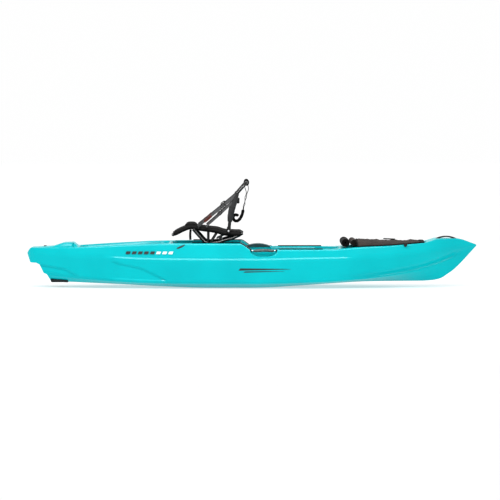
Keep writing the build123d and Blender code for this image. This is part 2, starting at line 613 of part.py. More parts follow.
side_frame = side_tube(upper_line, TUBE_R, 60)
side_frame += side_tube(lower_line, TUBE_R, 24)
for (xa, za), (xb, zb) in strut_lines:
    side_frame += rod((xa, -SEAT_HALF, za), (xb, -SEAT_HALF, zb), STRUT_R)
PIVOT_X, PIVOT_Z, HOOP_HALF, BOLT_R = -193.0, 471.0, 306.0, 4.0
tab = block((PIVOT_X - 16, -SEAT_HALF - 3, PIVOT_Z - 22), (PIVOT_X + 16, -SEAT_HALF + 3, PIVOT_Z + 16))
side_frame += tab
side_frame -= rod((PIVOT_X, -SEAT_HALF - 30, PIVOT_Z), (PIVOT_X, -SEAT_HALF + 30, PIVOT_Z), BOLT_R)
for side, shape in both_sides(side_frame).items():
    keep(shape, f"seat_side_frame_{side}")

cross_points = [(-618, 454), (-252, 383), (-104, 444)]
crosses = []
for x, z in cross_points:
    bar = rod((x, -SEAT_HALF, z), (x, SEAT_HALF, z), TUBE_R - 2)
    crosses.append((bar - side_frame - side_frame.mirror(Plane.XZ)).solids().sort_by(SortBy.VOLUME)[-1])
keep_group(crosses, "seat_cross_tubes")

# sling: cloth stretched between the side tubes, over the cross tubes
sling_line = [(-612, 466), (-554, 490), (-502, 505), (-435, 494), (-359, 484), (-293, 475), (-226, 457),
              (-160, 455), (-120, 459)]
SLING_THICK = 6.0
sling = ribbon(sling_line, SLING_THICK, 2 * (SEAT_HALF - TUBE_R - 0.5), 0)
for x, z in cross_points:
    sling -= rod((x, -SEAT_HALF, z), (x, SEAT_HALF, z), TUBE_R - 2)
keep(sling.solids().sort_by(SortBy.VOLUME)[-1], "seat_sling")
PAD_HALF = SEAT_HALF - TUBE_R - 4
front_pad = [(-556, 493), (-502, 509), (-452, 501), (-456, 520), (-484, 532), (-522, 532), (-548, 516)]
with BuildPart() as seat_front_pad:
    with BuildSketch(Plane.XZ):
        with BuildLine():
            Polyline(*front_pad, close=True)
        make_face()
    extrude(amount=PAD_HALF, both=True)
keep(seat_front_pad.part, "seat_front_pad")
keep(ribbon([(-504, 480), (-506, 396)], 12, 3, -SEAT_HALF + TUBE_R + 4), "seat_release_strap")

# carriages that ride on the rails and cradle the lower tubes
CARRIAGE_AFT, CARRIAGE_FORE, CARRIAGE_HALF = -386.0, -292.0, 22.0
for sign, side in ((-1, "starboard"), (1, "port")):
    y = sign * SEAT_HALF
    shoe = block((CARRIAGE_AFT, y - CARRIAGE_HALF, LEDGE_Z + 5.6), (CARRIAGE_FORE, y + CARRIAGE_HALF, 366))
    shoe -= block((CARRIAGE_AFT - 9, y - 5.6, 0), (CARRIAGE_FORE + 9, y + 5.6, LEDGE_Z + 9))
    shoe -= block((CARRIAGE_AFT - 9, y - 12.6, LEDGE_Z + 8.4), (CARRIAGE_FORE + 9, y + 12.6, LEDGE_Z + 14.6))
    shoe -= side_tube(lower_line, TUBE_R + 0.3, 24, y)
    shoe -= rod((-359, y, 400), (-340, y, 368), TUBE_R)
    keep(shoe.solids().sort_by(SortBy.VOLUME)[-1], f"seat_carriage_{side}")
    knob_y = y - sign * (CARRIAGE_HALF + 0.3)
    knob = rod((-310, knob_y, 352), (-310, knob_y - sign * 14, 352), 10)
    knob += block((-313, min(knob_y - sign * 12, knob_y - sign * 20), 342),
                  (-307, max(knob_y - sign * 12, knob_y - sign * 20), 362))
    keep(knob, f"seat_lock_knob_{side}")

# back hoop: one tube from pivot to pivot across the top
HOOP_TOP_X, HOOP_TOP_Z, HOOP_BEND = -47.0, 866.0, 60.0
hoop_line = [(PIVOT_X, PIVOT_Z - 20), (-183, 551), (-170, 633), (-126, 775), (HOOP_TOP_X, HOOP_TOP_Z)]
hoop_path = [(x, -HOOP_HALF, z) for x, z in hoop_line] + [(x, HOOP_HALF, z) for x, z in reversed(hoop_line)]
hoop = tube(hoop_path, TUBE_R, HOOP_BEND)
hoop -= rod((PIVOT_X, -400, PIVOT_Z), (PIVOT_X, 400, PIVOT_Z), BOLT_R + 0.05)
keep(hoop, "backrest_hoop")
bolts = []
bushes = []
for sign in (-1, 1):
    inner, outer = sign * (SEAT_HALF - 3), sign * (HOOP_HALF + TUBE_R + 0.3)
    pin = rod((PIVOT_X, inner, PIVOT_Z), (PIVOT_X, outer, PIVOT_Z), BOLT_R)
    pin += rod((PIVOT_X, outer, PIVOT_Z), (PIVOT_X, outer + sign * 5, PIVOT_Z), 8)
    pin += rod((PIVOT_X, inner, PIVOT_Z), (PIVOT_X, inner - sign * 6, PIVOT_Z), 7)
    bolts.append(pin)
    bush = rod((PIVOT_X, sign * (SEAT_HALF + 3), PIVOT_Z),
               (PIVOT_X, sign * (HOOP_HALF - TUBE_R - 0.3), PIVOT_Z), 8)
    bushes.append(bush - rod((PIVOT_X, -400, PIVOT_Z), (PIVOT_X, 400, PIVOT_Z), BOLT_R))
keep_group(bolts, "backrest_pivot_bolts")
keep_group(bushes, "backrest_pivot_spacers")

PANEL_HALF, PANEL_THICK = HOOP_HALF - TUBE_R - 0.5, 20.0
panel_line = [(-183, 552), (-170, 633), (-129, 765)]
panel = ribbon(panel_line, PANEL_THICK, 2 * PANEL_HALF, 0)
keep(panel, "backrest_mesh")
TOP_PAD_HALF, TOP_PAD_R = 190.0, 24.0
top_pad = rod((HOOP_TOP_X, -TOP_PAD_HALF, HOOP_TOP_Z), (HOOP_TOP_X, TOP_PAD_HALF, HOOP_TOP_Z), TOP_PAD_R)
top_pad -= rod((HOOP_TOP_X, -HOOP_HALF, HOOP_TOP_Z), (HOOP_TOP_X, HOOP_HALF, HOOP_TOP_Z), TUBE_R)
keep(top_pad, "backrest_top_pad")
SLIDER_LOW, SLIDER_HIGH, SLIDER_EDGE = (-137, -60, 690), (-104, 60, 735), 4.0
keep(block(SLIDER_LOW, SLIDER_HIGH, SLIDER_EDGE) - panel, "backrest_slider")

STRAP_Y, STRAP_THICK = HOOP_HALF + TUBE_R + 2.5, 3.0
BUCKLE_HALF, BUCKLE_PLAY, ANCHOR_R = 4.5, 0.6, 6.0
ANCHOR_AHEAD, ANCHOR_BELOW = 6.0, 12.0
# lower end, upper end, width, x of the buckle, buckle's length and height
straps = [((-446, 508), (-124, 772), 25.0, -237, 42, 34),
          ((-380, 511), (-156, 716), 19.0, -265, 34, 26)]
anchors = []
webs = []
clasps = []
for low, high, width, buckle_x, long, wide in straps:
    slope = atan2(high[1] - low[1], high[0] - low[0])
    strap = ribbon([low, high], width, STRAP_THICK, -STRAP_Y)
    share = (buckle_x - low[0]) / (high[0] - low[0])
    middle = (buckle_x, -STRAP_Y, low[1] + share * (high[1] - low[1]))
    with BuildPart() as buckle_part:
        with BuildSketch(Plane(origin=middle, x_dir=(cos(slope), 0, sin(slope)), z_dir=(0, -1, 0))):
            Rectangle(long, wide)
        extrude(amount=BUCKLE_HALF, both=True)
    slit = ribbon([low, high], width + BUCKLE_PLAY, STRAP_THICK + BUCKLE_PLAY, -STRAP_Y)
    webs.append(strap)
    clasps.append(buckle_part.part - slit)
    foot_x, foot_z = low[0] + ANCHOR_AHEAD, low[1] - ANCHOR_BELOW
    for sign in (-1, 1):
        foot = rod((foot_x, sign * (SEAT_HALF + 4), foot_z), (foot_x, sign * (STRAP_Y - 1.5), foot_z),
                   ANCHOR_R)
        anchors.append(foot - side_frame - side_frame.mirror(Plane.XZ))
keep_group([a.solids().sort_by(SortBy.VOLUME)[-1] for a in anchors], "recline_strap_anchors")
for side in ("starboard", "port"):
    keep_group([both_sides(w)[side] for w in webs], f"recline_straps_{side}")
    keep_group([both_sides(c)[side] for c in clasps], f"recline_buckles_{side}")

# lash cord hanging from the hoop to its sleeve
LASH_Y, LASH_GAP, LASH_R, SLEEVE_R = -96.0, 8.0, 2.5, 10.0
aft_strand = [(-61, 841), (-60, 822), (-50, 798), (-46, 770), (-60, 743), (-58, 700), (-74, 674),
              (-74, 640)]
fore_strand = [(-34, 843), (-30, 822), (-31, 798), (-44, 770), (-46, 740), (-60, 710), (-57, 684),
               (-70, 662), (-70, 640)]


def cord_tube(name, points, radius):
    """Tube along a hand-set route, each arc as large as its two runs allow."""
    runs = [Vector(*b) - Vector(*a) for a, b in zip(points, points[1:])]
    bends = []
    for before, after in zip(runs, runs[1:]):
        turn = radians(before.get_angle(after))
        bends.append(0.45 * min(before.length, after.length) / tan(turn / 2))
    print(name, "bends", [round(b, 1) for b in bends], "runs", round(sum(r.length for r in runs), 1))
    return tube(points, radius, bends)


keep(cord_tube("lash_cord_aft", [(x, LASH_Y, z) for x, z in aft_strand], LASH_R), "lash_cord_aft")
keep(cord_tube("lash_cord_fore", [(x, LASH_Y - LASH_GAP, z) for x, z in fore_strand], LASH_R),
     "lash_cord_fore")
sleeve_line = [(-74, 640), (-76, 612), (-92, 572), (-118, 545), (-146, 550), (-158, 574), (-148, 596),
               (-124, 598), (-115, 587)]
sleeve = cord_tube("lash_sleeve", [(x, LASH_Y - LASH_GAP / 2, z) for x, z in sleeve_line], SLEEVE_R)
keep(sleeve - panel, "lash_sleeve")
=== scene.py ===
"""Looks of a sit-on-top fishing kayak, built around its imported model.

Lengths are in metres; +X runs to the bow, +Y to port and +Z up.  Lines that run along the hull are lists
of (share of half length, value in millimetres) points, read at any station by `read_line`.
"""

from math import radians, tan

import bmesh
import bpy
import numpy as np
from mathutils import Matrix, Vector


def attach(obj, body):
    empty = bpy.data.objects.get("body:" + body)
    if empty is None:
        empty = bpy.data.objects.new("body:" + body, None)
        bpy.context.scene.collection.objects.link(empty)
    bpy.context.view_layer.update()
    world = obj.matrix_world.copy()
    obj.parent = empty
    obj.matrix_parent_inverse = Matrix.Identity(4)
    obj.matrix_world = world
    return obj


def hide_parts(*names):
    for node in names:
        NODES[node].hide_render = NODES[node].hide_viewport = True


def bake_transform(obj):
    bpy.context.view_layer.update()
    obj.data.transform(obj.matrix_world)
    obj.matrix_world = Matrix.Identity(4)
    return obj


bl_info = {
    "name": "Fishing kayak",
    "version": (1, 0, 0),
    "blender": (4, 5, 0),
    "location": "3D View > Sidebar > Kayak",
    "description": "Builds the looks of a sit-on-top fishing kayak around its frame",
    "category": "Object",
}

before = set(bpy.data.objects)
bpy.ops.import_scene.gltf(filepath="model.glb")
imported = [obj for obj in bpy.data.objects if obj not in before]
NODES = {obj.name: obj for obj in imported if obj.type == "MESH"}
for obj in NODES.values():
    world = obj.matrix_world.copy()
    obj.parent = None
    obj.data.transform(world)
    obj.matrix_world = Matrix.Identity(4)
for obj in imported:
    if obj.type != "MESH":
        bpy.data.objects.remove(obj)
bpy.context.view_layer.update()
MM = 0.001

# ---------------------------------------------------------------- materials


def linear(code, alpha=1.0):
    """sRGB hex colour as linear RGBA."""
    srgb = np.array([int(code[i:i + 2], 16) for i in (1, 3, 5)]) / 255
    rgb = np.where(srgb <= 0.04045, srgb / 12.92, ((srgb + 0.055) / 1.055) ** 2.4)
    return (*[float(c) for c in rgb], alpha)


def tone(value):
    """A colour as linear RGBA, from a hex code or from a property that is linear already."""
    return linear(value) if isinstance(value, str) else tuple(value)


def add(tree, kind, links=None, **settings):
    """Adds a node; links maps an input's name to (node, output), settings set inputs or properties."""
    node = tree.nodes.new(kind)
    for key, value in settings.items():
        if hasattr(node, key):
            setattr(node, key, value)
        else:
            node.inputs[key.replace("_", " ")].default_value = value
    for key, (source, output) in (links or {}).items():
        tree.links.new(source.outputs[output], node.inputs[key])
    return node


def new_material(name, **surface):
    """A Principled material; surface gives its own sockets, such as Roughness."""
    made = bpy.data.materials.new(name)
    made.use_nodes = True
    shader = made.node_tree.nodes["Principled BSDF"]
    for key, value in surface.items():
        shader.inputs[key.replace("_", " ")].default_value = value
    return made, made.node_tree, shader


def two_tone(tree, shader, source, dark, light, low, high):
    """Base colour that goes from dark to light as source, a (node, output), goes from low to high."""
    ramp = add(tree, "ShaderNodeValToRGB", {"Fac": source})
    for stop, position, shade in zip(ramp.color_ramp.elements, (low, high), (dark, light)):
        stop.position = position
        stop.color = tone(shade)
    tree.links.new(ramp.outputs["Color"], shader.inputs["Base Color"])


def mottle(tree, shader, dark, light, scale):
    """Colour that drifts between two tones over 1 / scale metres; returns its coordinates."""
    place = add(tree, "ShaderNodeTexCoord")
    noise = add(tree, "ShaderNodeTexNoise", {"Vector": (place, "Object")}, Scale=scale, Detail=3.0)
    two_tone(tree, shader, (noise, "Fac"), dark, light, 0.35, 0.65)
    return place


def grain(tree, shader, place, scale, depth, strength):
    """Fine relief, depth in metres, with its own scale."""
    texture = add(tree, "ShaderNodeTexNoise", {"Vector": (place, "Object")}, Scale=scale)
    bump = add(tree, "ShaderNodeBump", {"Height": (texture, "Fac")}, Strength=strength, Distance=depth)
    tree.links.new(bump.outputs["Normal"], shader.inputs["Normal"])


def polyethylene(colours):
    """Rotomoulded polyethylene: satin, with the soft pebble of the mould and a slow drift of tone."""
    made, tree, shader = new_material("rotomoulded_polyethylene", Roughness=0.27, IOR=1.51)
    place = mottle(tree, shader, colours.hull_dark, colours.hull, 2.2)
    # pebble of the mould, drawn 6 mm across so that it shows
    grain(tree, shader, place, 165.0, 0.0006, 0.25)
    shader.inputs["Specular IOR Level"].default_value = 0.12
    return made


def moulded_black(name, dark="#070708", light="#101112", rough=0.4):
    """Injection-moulded nylon: near black, with a fine spark-eroded texture."""
    made, tree, shader = new_material(name, Roughness=rough, IOR=1.53)
    shader.inputs["Specular IOR Level"].default_value = 0.3
    place = mottle(tree, shader, dark, light, 30.0)
    grain(tree, shader, place, 900.0, 0.0002, 0.3)
    return made


def woven(name, dark, light, thread, rough=0.85, sheen=0.05, uv=True, fine=140.0):
    """Woven cloth: two wave textures at right angles, thread metres apart, under a slow stain."""
    made, tree, shader = new_material(name, Roughness=rough, IOR=1.46)
    shader.inputs["Sheen Weight"].default_value = sheen
    shader.inputs["Specular IOR Level"].default_value = 0.12
    shader.inputs["Sheen Roughness"].default_value = 0.5
    place = add(tree, "ShaderNodeTexCoord")
    space = (place, "UV" if uv else "Object")
    waves = []
    for direction in ("X", "Y"):
        wave = add(tree, "ShaderNodeTexWave", {"Vector": space}, bands_direction=direction,
                   Scale=2 * np.pi / (20 * thread), Distortion=0.6)
        wave.inputs["Detail"].default_value = 0.0
        waves.append(wave)
    both = add(tree, "ShaderNodeMath", {0: (waves[0], "Fac"), 1: (waves[1], "Fac")}, operation="MULTIPLY")
    stain = add(tree, "ShaderNodeTexNoise", {"Vector": (place, "Object")}, Scale=14.0, Detail=4.0)
    mixed = add(tree, "ShaderNodeMath", {0: (both, "Value"), 1: (stain, "Fac")}, operation="ADD")
    two_tone(tree, shader, (mixed, "Value"), dark, light, 0.3, 1.0)
    fuzz = add(tree, "ShaderNodeTexNoise", {"Vector": (place, "Object")}, Scale=fine, Detail=2.0)
    relief = add(tree, "ShaderNodeMath", {0: (both, "Value"), 1: (fuzz, "Fac")}, operation="ADD")
    bump = add(tree, "ShaderNodeBump", {"Height": (relief, "Value")}, Strength=0.6, Distance=0.0006)
    tree.links.new(bump.outputs["Normal"], shader.inputs["Normal"])
    return made


def bare_metal(name, dark, light, rough=0.3):
    """Machined or extruded metal with fine turning marks."""
    made, tree, shader = new_material(name, Roughness=rough, Metallic=1.0)
    place = mottle(tree, shader, dark, light, 60.0)
    grain(tree, shader, place, 700.0, 0.0001, 0.3)
    return made


def powder_coat():
    """Black powder coat on aluminium tube: satin with a very fine orange peel."""
    made, tree, shader = new_material("powder_coated_aluminium", Roughness=0.3, IOR=1.5)
    shader.inputs["Specular IOR Level"].default_value = 0.4
    place = mottle(tree, shader, "#030303", "#0a0a0b", 25.0)
    grain(tree, shader, place, 420.0, 0.0003, 0.35)
    return made


def rubber():
    """Moulded thermoplastic rubber over the grips: matt, a little scuffed."""
    made, tree, shader = new_material("moulded_grip_rubber", Roughness=0.62, IOR=1.5)
    place = mottle(tree, shader, "#2f3a3b", "#4b5a5a", 40.0)
    grain(tree, shader, place, 500.0, 0.0004, 0.5)
    return made


def clad(obj, made):
    """Gives an object one material."""
    obj.data.materials.clear()
    obj.data.materials.append(made)


# ---------------------------------------------------------------- surfaces


def placed(name, data):
    """A new object in the scene."""
    obj = bpy.data.objects.new(name, data)
    bpy.context.scene.collection.objects.link(obj)
    return obj


def shade_smooth(mesh):
    """Shades every face smooth."""
    mesh.polygons.foreach_set("use_smooth", np.ones(len(mesh.polygons), bool))


def surface(name, points, wrap_rows=False, wrap_columns=False, caps=False, uv=None):
    """Quad mesh over a grid of points (rows, columns, 3); rows or columns may close on themselves.

    caps closes the first and last row of a grid whose columns wrap, with one face each.
    """
    points = np.asarray(points, float)
    rows, columns = points.shape[:2]
    index = np.arange(rows * columns).reshape(rows, columns)
    r = np.arange(rows if wrap_rows else rows - 1)
    c = np.arange(columns if wrap_columns else columns - 1)
    r0, c0 = np.meshgrid(r, c, indexing="ij")
    r1, c1 = (r0 + 1) % rows, (c0 + 1) % columns
    quads = np.stack([index[r0, c0], index[r0, c1], index[r1, c1], index[r1, c0]], -1).reshape(-1, 4)
    faces = quads.tolist()
    if caps:
        faces += [index[0, ::-1].tolist(), index[-1].tolist()]
    mesh = bpy.data.meshes.new(name)
    mesh.from_pydata(points.reshape(-1, 3).tolist(), [], faces)
    shade_smooth(mesh)
    if uv is not None:
        layer = mesh.uv_layers.new(name="cloth")
        corner = np.zeros(len(mesh.loops), np.int64)
        mesh.loops.foreach_get("vertex_index", corner)
        flat = np.asarray(uv, float).reshape(-1, 2)[corner]
        layer.data.foreach_set("uv", flat.ravel())
    mesh.validate()
    return placed(name, mesh)


def tidy(obj, merge=1e-5):
    """Merges doubles and turns every face outwards."""
    work = bmesh.new()
    work.from_mesh(obj.data)
    bmesh.ops.remove_doubles(work, verts=work.verts, dist=merge)
    bmesh.ops.dissolve_degenerate(work, edges=work.edges, dist=merge * 0.5)
    bmesh.ops.recalc_face_normals(work, faces=work.faces)
    work.to_mesh(obj.data)
    work.free()
    return obj


def apply_modifiers(obj):
    """Puts the modifiers' result in the mesh."""
    graph = bpy.context.evaluated_depsgraph_get()
    graph.update()
    made = bpy.data.meshes.new_from_object(obj.evaluated_get(graph))
    obj.modifiers.clear()
    obj.data = made
    return obj


def thicken(obj, thickness, offset=-1.0):
    """Gives an open sheet a wall, and puts it in the mesh."""
    solid = obj.modifiers.new("wall", "SOLIDIFY")
    solid.thickness = thickness
    solid.offset = offset
    return apply_modifiers(obj)


def spline(points, count, order=3):
    """Uniform clamped B-spline of the given order, read at count even steps; its points are the controls."""
    points = np.asarray(points, float)
    n, k = len(points), min(order, len(points))
    knots = np.concatenate([np.zeros(k), np.arange(1, n - k + 1), np.full(k, n - k + 1)]).astype(float)
    u = np.linspace(0, n - k + 1 - 1e-9, count)
    basis = ((u[:, None] >= knots[None, :-1]) & (u[:, None] < knots[None, 1:])).astype(float)
    for d in range(1, k):
        left, right = knots[d:-1] - knots[:-d - 1], knots[d + 1:] - knots[1:-d]
        a = np.divide(u[:, None] - knots[:-d - 1], left, out=np.zeros((count, len(left))), where=left > 0)
        b = np.divide(knots[d + 1:] - u[:, None], right, out=np.zeros((count, len(right))), where=right > 0)
        basis = a * basis[:, :-1] + b * basis[:, 1:]
    return basis @ points


def unit(v):
    return v / np.maximum(np.linalg.norm(v, axis=-1, keepdims=True), 1e-12)


def sideways(tangent, across):
    """Directions square to every tangent, as near as can be to `across`."""
    across = np.asarray(across, float)
    return unit(across - (tangent @ across)[:, None] * tangent)


def carried(path, profiles, across=(0, 1, 0)):
    """Closed profiles of (out, along the across direction) points, one at each point of a path."""
    tangent = unit(np.gradient(path, axis=0))
    side = sideways(tangent, across)
    out = unit(np.cross(side, tangent))
    return path[:, None] + profiles[..., :1] * out[:, None] + profiles[..., 1:] * side[:, None]


def angles(count):
    """Even angles once round, the first at 0."""
    return np.linspace(0, 2 * np.pi, count, endpoint=False)


def squared(value, power):
    """A power of the size of a cosine or sine, its sign kept."""
    return np.sign(value) * np.abs(value) ** power


def superellipse(half_out, half_across, power, count):
    """Rounded rectangle |x/a|^p + |y/b|^p = 1 as (out, across) points."""
    a = angles(count)
    return np.stack([half_out * squared(np.cos(a), 2 / power),
                     half_across * squared(np.sin(a), 2 / power)], -1)


# ---------------------------------------------------------------- hull lines, as in the frame

BREADTH = [(-1.0, 0.22), (-0.985, 0.32), (-0.95, 0.41), (-0.86, 0.56), (-0.75, 0.70), (-0.6, 0.84),
           (-0.43, 0.935), (-0.2, 0.99), (0.0, 1.0), (0.2, 0.98), (0.4, 0.905), (0.55, 0.795),
           (0.7, 0.62), (0.82, 0.43), (0.92, 0.215), (0.97, 0.10), (1.0, 0.025)]
KNUCKLE = [(-1.0, 285), (-0.7, 262), (-0.4, 240), (0.0, 237), (0.25, 246), (0.4, 250), (0.57, 262),
           (0.73, 290), (0.86, 320), (0.95, 338), (1.0, 347)]
CHINE = [(-1.0, 150), (-0.93, 125), (-0.84, 96), (-0.72, 75), (-0.62, 60), (-0.4, 45), (0.0, 42),
         (0.3, 52), (0.45, 70), (0.59, 98), (0.73, 143), (0.835, 199), (0.93, 275), (1.0, 338)]
CHINE_SHARE = [(-1.0, 0.80), (-0.6, 0.88), (-0.2, 0.91), (0.2, 0.90), (0.45, 0.86), (0.6, 0.76),
               (0.75, 0.60), (0.9, 0.44), (1.0, 0.5)]
FLAT_SHARE = [(-1.0, 0.62), (-0.6, 0.60), (0.0, 0.56), (0.4, 0.40), (0.6, 0.22), (0.75, 0.10), (1.0, 0.25)]
KEEL = [(-1.0, 54), (-0.86, 47), (-0.6, 30), (-0.4, 12), (-0.25, 1.5), (-0.18, 0), (-0.02, 0),
        (0.06, 2), (0.2, 16), (0.35, 33), (0.5, 46), (0.65, 48), (0.755, 49), (0.8, 54), (0.84, 69),
        (0.87, 103), (0.9, 143), (1.0, 337)]
HALF, BEAM, SHEER, WAIST, LEAN, KNUCKLE_LOW = 1855.0, 960.0, 372.0, 322.0, 26.0, 237
STERN_DECK, BOW_DECK = 328.0, 401.0
TOP_EDGE = [(-HALF, 282), (-HALF + 22, STERN_DECK), (-HALF + 200, STERN_DECK), (-HALF + 442, 337),
            (-HALF + 700, 352), (-840, 367), (-600, SHEER), (-80, SHEER), (-13, WAIST), (690, WAIST),
            (880, 341), (1137, 350), (1418, 370), (1489, 390), (1514, 400), (1690, BOW_DECK), (1745, 390),
            (HALF, 349)]
STERN_CUT = [(-HALF, 282), (-HALF + 26, 206), (-HALF + 76, 204), (-HALF + 104, 190), (-HALF + 137, 120),
             (-HALF + 164, 109), (-HALF + 195, 50), (-HALF + 200, -50)]
DRAFT = tan(radians(6))


def read_line(line, share):
    """Reads a line at stations: a cubic through its points whose slopes never overshoot."""
    xs, ys = np.array(line, float).T
    rise = np.diff(ys) / np.diff(xs)
    slope = np.concatenate([rise[:1], np.zeros(len(xs) - 2), rise[-1:]])
    a, b = rise[:-1], rise[1:]
    inner = np.divide(2 * a * b, a + b, out=np.zeros_like(a), where=(a * b) > 0)
    slope[1:-1] = inner
    share = np.clip(share, xs[0], xs[-1])
    i = np.clip(np.searchsorted(xs, share, side="right") - 1, 0, len(xs) - 2)
    h = xs[i + 1] - xs[i]
    t = (share - xs[i]) / h
    return (ys[i] * (1 + 2 * t) * (1 - t) ** 2 + slope[i] * h * t * (1 - t) ** 2
            + ys[i + 1] * t * t * (3 - 2 * t) - slope[i + 1] * h * t * t * (1 - t))


def eased(points, x, reach):
    """Straight-line profile with its corners eased: its mean over +-reach of every station."""
    xs, ys = np.array(points, float).T
    x = np.asarray(x, float)[..., None]
    return np.interp(x + np.linspace(-1, 1, 9) * np.asarray(reach, float)[..., None], xs, ys).mean(axis=-1)


def top_edge(x):
    """Height of the gunwale along the hull."""
    inside = np.minimum(14.0, np.maximum(HALF - np.abs(x), 0.0))
    return eased(TOP_EDGE, x, inside)


def half_breadth(x):
    return BEAM / 2 * read_line(BREADTH, x / HALF)


def topside_half(x, z):
    """Half breadth of the topsides, above the knuckle, at height z."""
    share = x / HALF
    lean = LEAN * read_line(BREADTH, share) / (SHEER - KNUCKLE_LOW)
    return np.maximum(half_breadth(x) - lean * (z - read_line(KNUCKLE, share)), 3.0)


def side_half(x, z):
    """Half breadth of the hull's side at height z."""
    share = x / HALF
    knuckle, chine = read_line(KNUCKLE, share), read_line(CHINE, share)
    full = half_breadth(x)
    low = full * read_line(CHINE_SHARE, share)
    t = np.clip((z - chine) / (knuckle - chine), 0, 1)
    return np.where(z > knuckle, topside_half(x, z), low + (full - low) * t)


# ends of the wells along the hull, their floors, and how far two of them stay inside the gunwale
TANK_AFT, TANK_FORE, SEAT_AFT, STEP_X, FOOT_FORE = -1413.0, -702.0, -640.0, -80.0, 700.0
BOW_AFT, BOW_FORE = 784.0, 1423.0
TANK_FLOOR, LEDGE_FLOOR, COCKPIT_FLOOR, BOW_FLOOR = 188.0, 330.0, 130.0, 205.0
TANK_RIM, BOW_RIM = 92.0, 88.0
CORNER = 60.0


def plan_distance(x, y, aft, fore, half, corner=CORNER):
    """Signed distance, outwards, to a rounded outline with ends aft and fore and half width `half`."""
    u = np.abs(y) - half + corner
    v = np.maximum(aft - x, x - fore) + corner
    return np.hypot(np.maximum(u, 0), np.maximum(v, 0)) + np.minimum(np.maximum(u, v), 0) - corner


def hollow(distance, floor, top, foot=26.0, lip=9.0):
    """Height over a recess: level floor, rounded foot, drafted wall, rounded lip, then the top."""
    rise = np.maximum(top - floor, 1e-3)
    foot = np.minimum(foot, 0.6 * rise)
    lip = np.minimum(lip, 0.3 * rise)
    wall = np.maximum(rise - foot - lip, 0) * DRAFT
    sunk = foot - np.sqrt(foot ** 2 - np.clip(distance + foot, 0, foot) ** 2)
    climb = np.clip(distance, 0, wall) / DRAFT
    turn = np.sqrt(np.maximum(lip ** 2 - (lip - np.clip(distance - wall, 0, lip)) ** 2, 0))
    return np.where(top > floor, floor + sunk + climb + turn, top)


def well_half(x, aft, fore, rim):
    """Half width of a well that follows the gunwale through its two ends and its middle."""
    ends = np.array([aft, (aft + fore) / 2, fore])
    return np.interp(x, ends, topside_half(ends, SHEER) - rim)


def deck_height(x, y):
    """Deck surface: the gunwale's height less every well, plus the raised stern hatch."""
    top = top_edge(x)
    tank_half = well_half(x, TANK_AFT, TANK_FORE, TANK_RIM)
    tank = hollow(plan_distance(x, y, TANK_AFT, TANK_FORE, tank_half), TANK_FLOOR, top)
    ledge = hollow(plan_distance(x, y, SEAT_AFT, 20.0, 346.0, 40.0), LEDGE_FLOOR, top)
    seat = hollow(plan_distance(x, y, SEAT_AFT, 120.0, 222.0), COCKPIT_FLOOR, np.minimum(ledge, top))
    foot_half = np.interp(x, [520, FOOT_FORE], [358.0, 235.0])
    foot = hollow(plan_distance(x, y, STEP_X, FOOT_FORE, foot_half), COCKPIT_FLOOR, np.minimum(ledge, top))
    bow_half = well_half(x, BOW_AFT, BOW_FORE, BOW_RIM)
    bow = hollow(plan_distance(x, y, BOW_AFT, BOW_FORE, bow_half), BOW_FLOOR, top)
    low = np.minimum.reduce([top + 0 * y, tank, ledge, seat, foot, bow])
    along = np.interp(x, [-1810, -1640, -1553, -1474, -1431], [0, 0.3, 1, 1, 0])
    across = np.clip((158 - np.abs(y)) / 22, 0, 1)
    return low + 35 * along * across * across * (3 - 2 * across)


def rounded_chain(points, reach, straight, bend):
    """Chain of corners (stations, corners, 2) with each inner corner rounded by a quadratic curve."""
    delta = np.diff(points, axis=1)
    length = np.maximum(np.linalg.norm(delta, axis=2), 1e-9)
    columns = []
    count = points.shape[1]
    for k in range(count - 1):
        a = np.minimum(reach[k], 0.45 * length[:, k]) if k else 0 * length[:, k]
        b = np.minimum(reach[k + 1], 0.45 * length[:, k]) if k < count - 2 else 0 * length[:, k]
        way = delta[:, k] / length[:, k, None]
        start = points[:, k] + way * a[:, None]
        end = points[:, k + 1] - way * b[:, None]
        t = np.linspace(0, 1, straight[k], endpoint=False)[None, :, None]
        columns.append(start[:, None] * (1 - t) + end[:, None] * t)
        if k < count - 2:
            a2 = np.minimum(reach[k + 1], 0.45 * length[:, k + 1])
            after = points[:, k + 1] + delta[:, k + 1] / length[:, k + 1, None] * a2[:, None]
            t = np.linspace(0, 1, bend[k + 1], endpoint=False)[None, :, None]
            columns.append(end[:, None] * (1 - t) ** 2 + 2 * points[:, k + 1][:, None] * t * (1 - t)
                           + after[:, None] * t * t)
    columns.append(points[:, -1:])
    return np.concatenate(columns, axis=1)


def stations():
    """Stations along the hull, closer where a wall crosses it."""
    spans = [(-HALF, -1640, 6), (-1660, -1420, 9), (-1440, -1345, 4.5), (-1345, -770, 22), (-770, -588, 5),
             (-588, -110, 22), (-110, 40, 5), (40, 500, 22), (500, 640, 10), (640, 742, 5), (742, 870, 6),
             (870, 1345, 20), (1345, 1530, 6), (1530, 1740, 14), (1740, HALF, 7)]
    parts = [np.arange(a, b, step) for a, b, step in spans]
    return np.unique(np.round(np.concatenate([*parts, [HALF]]), 3))


def smoothstep(t):
    t = np.clip(t, 0, 1)
    return t * t * (3 - 2 * t)


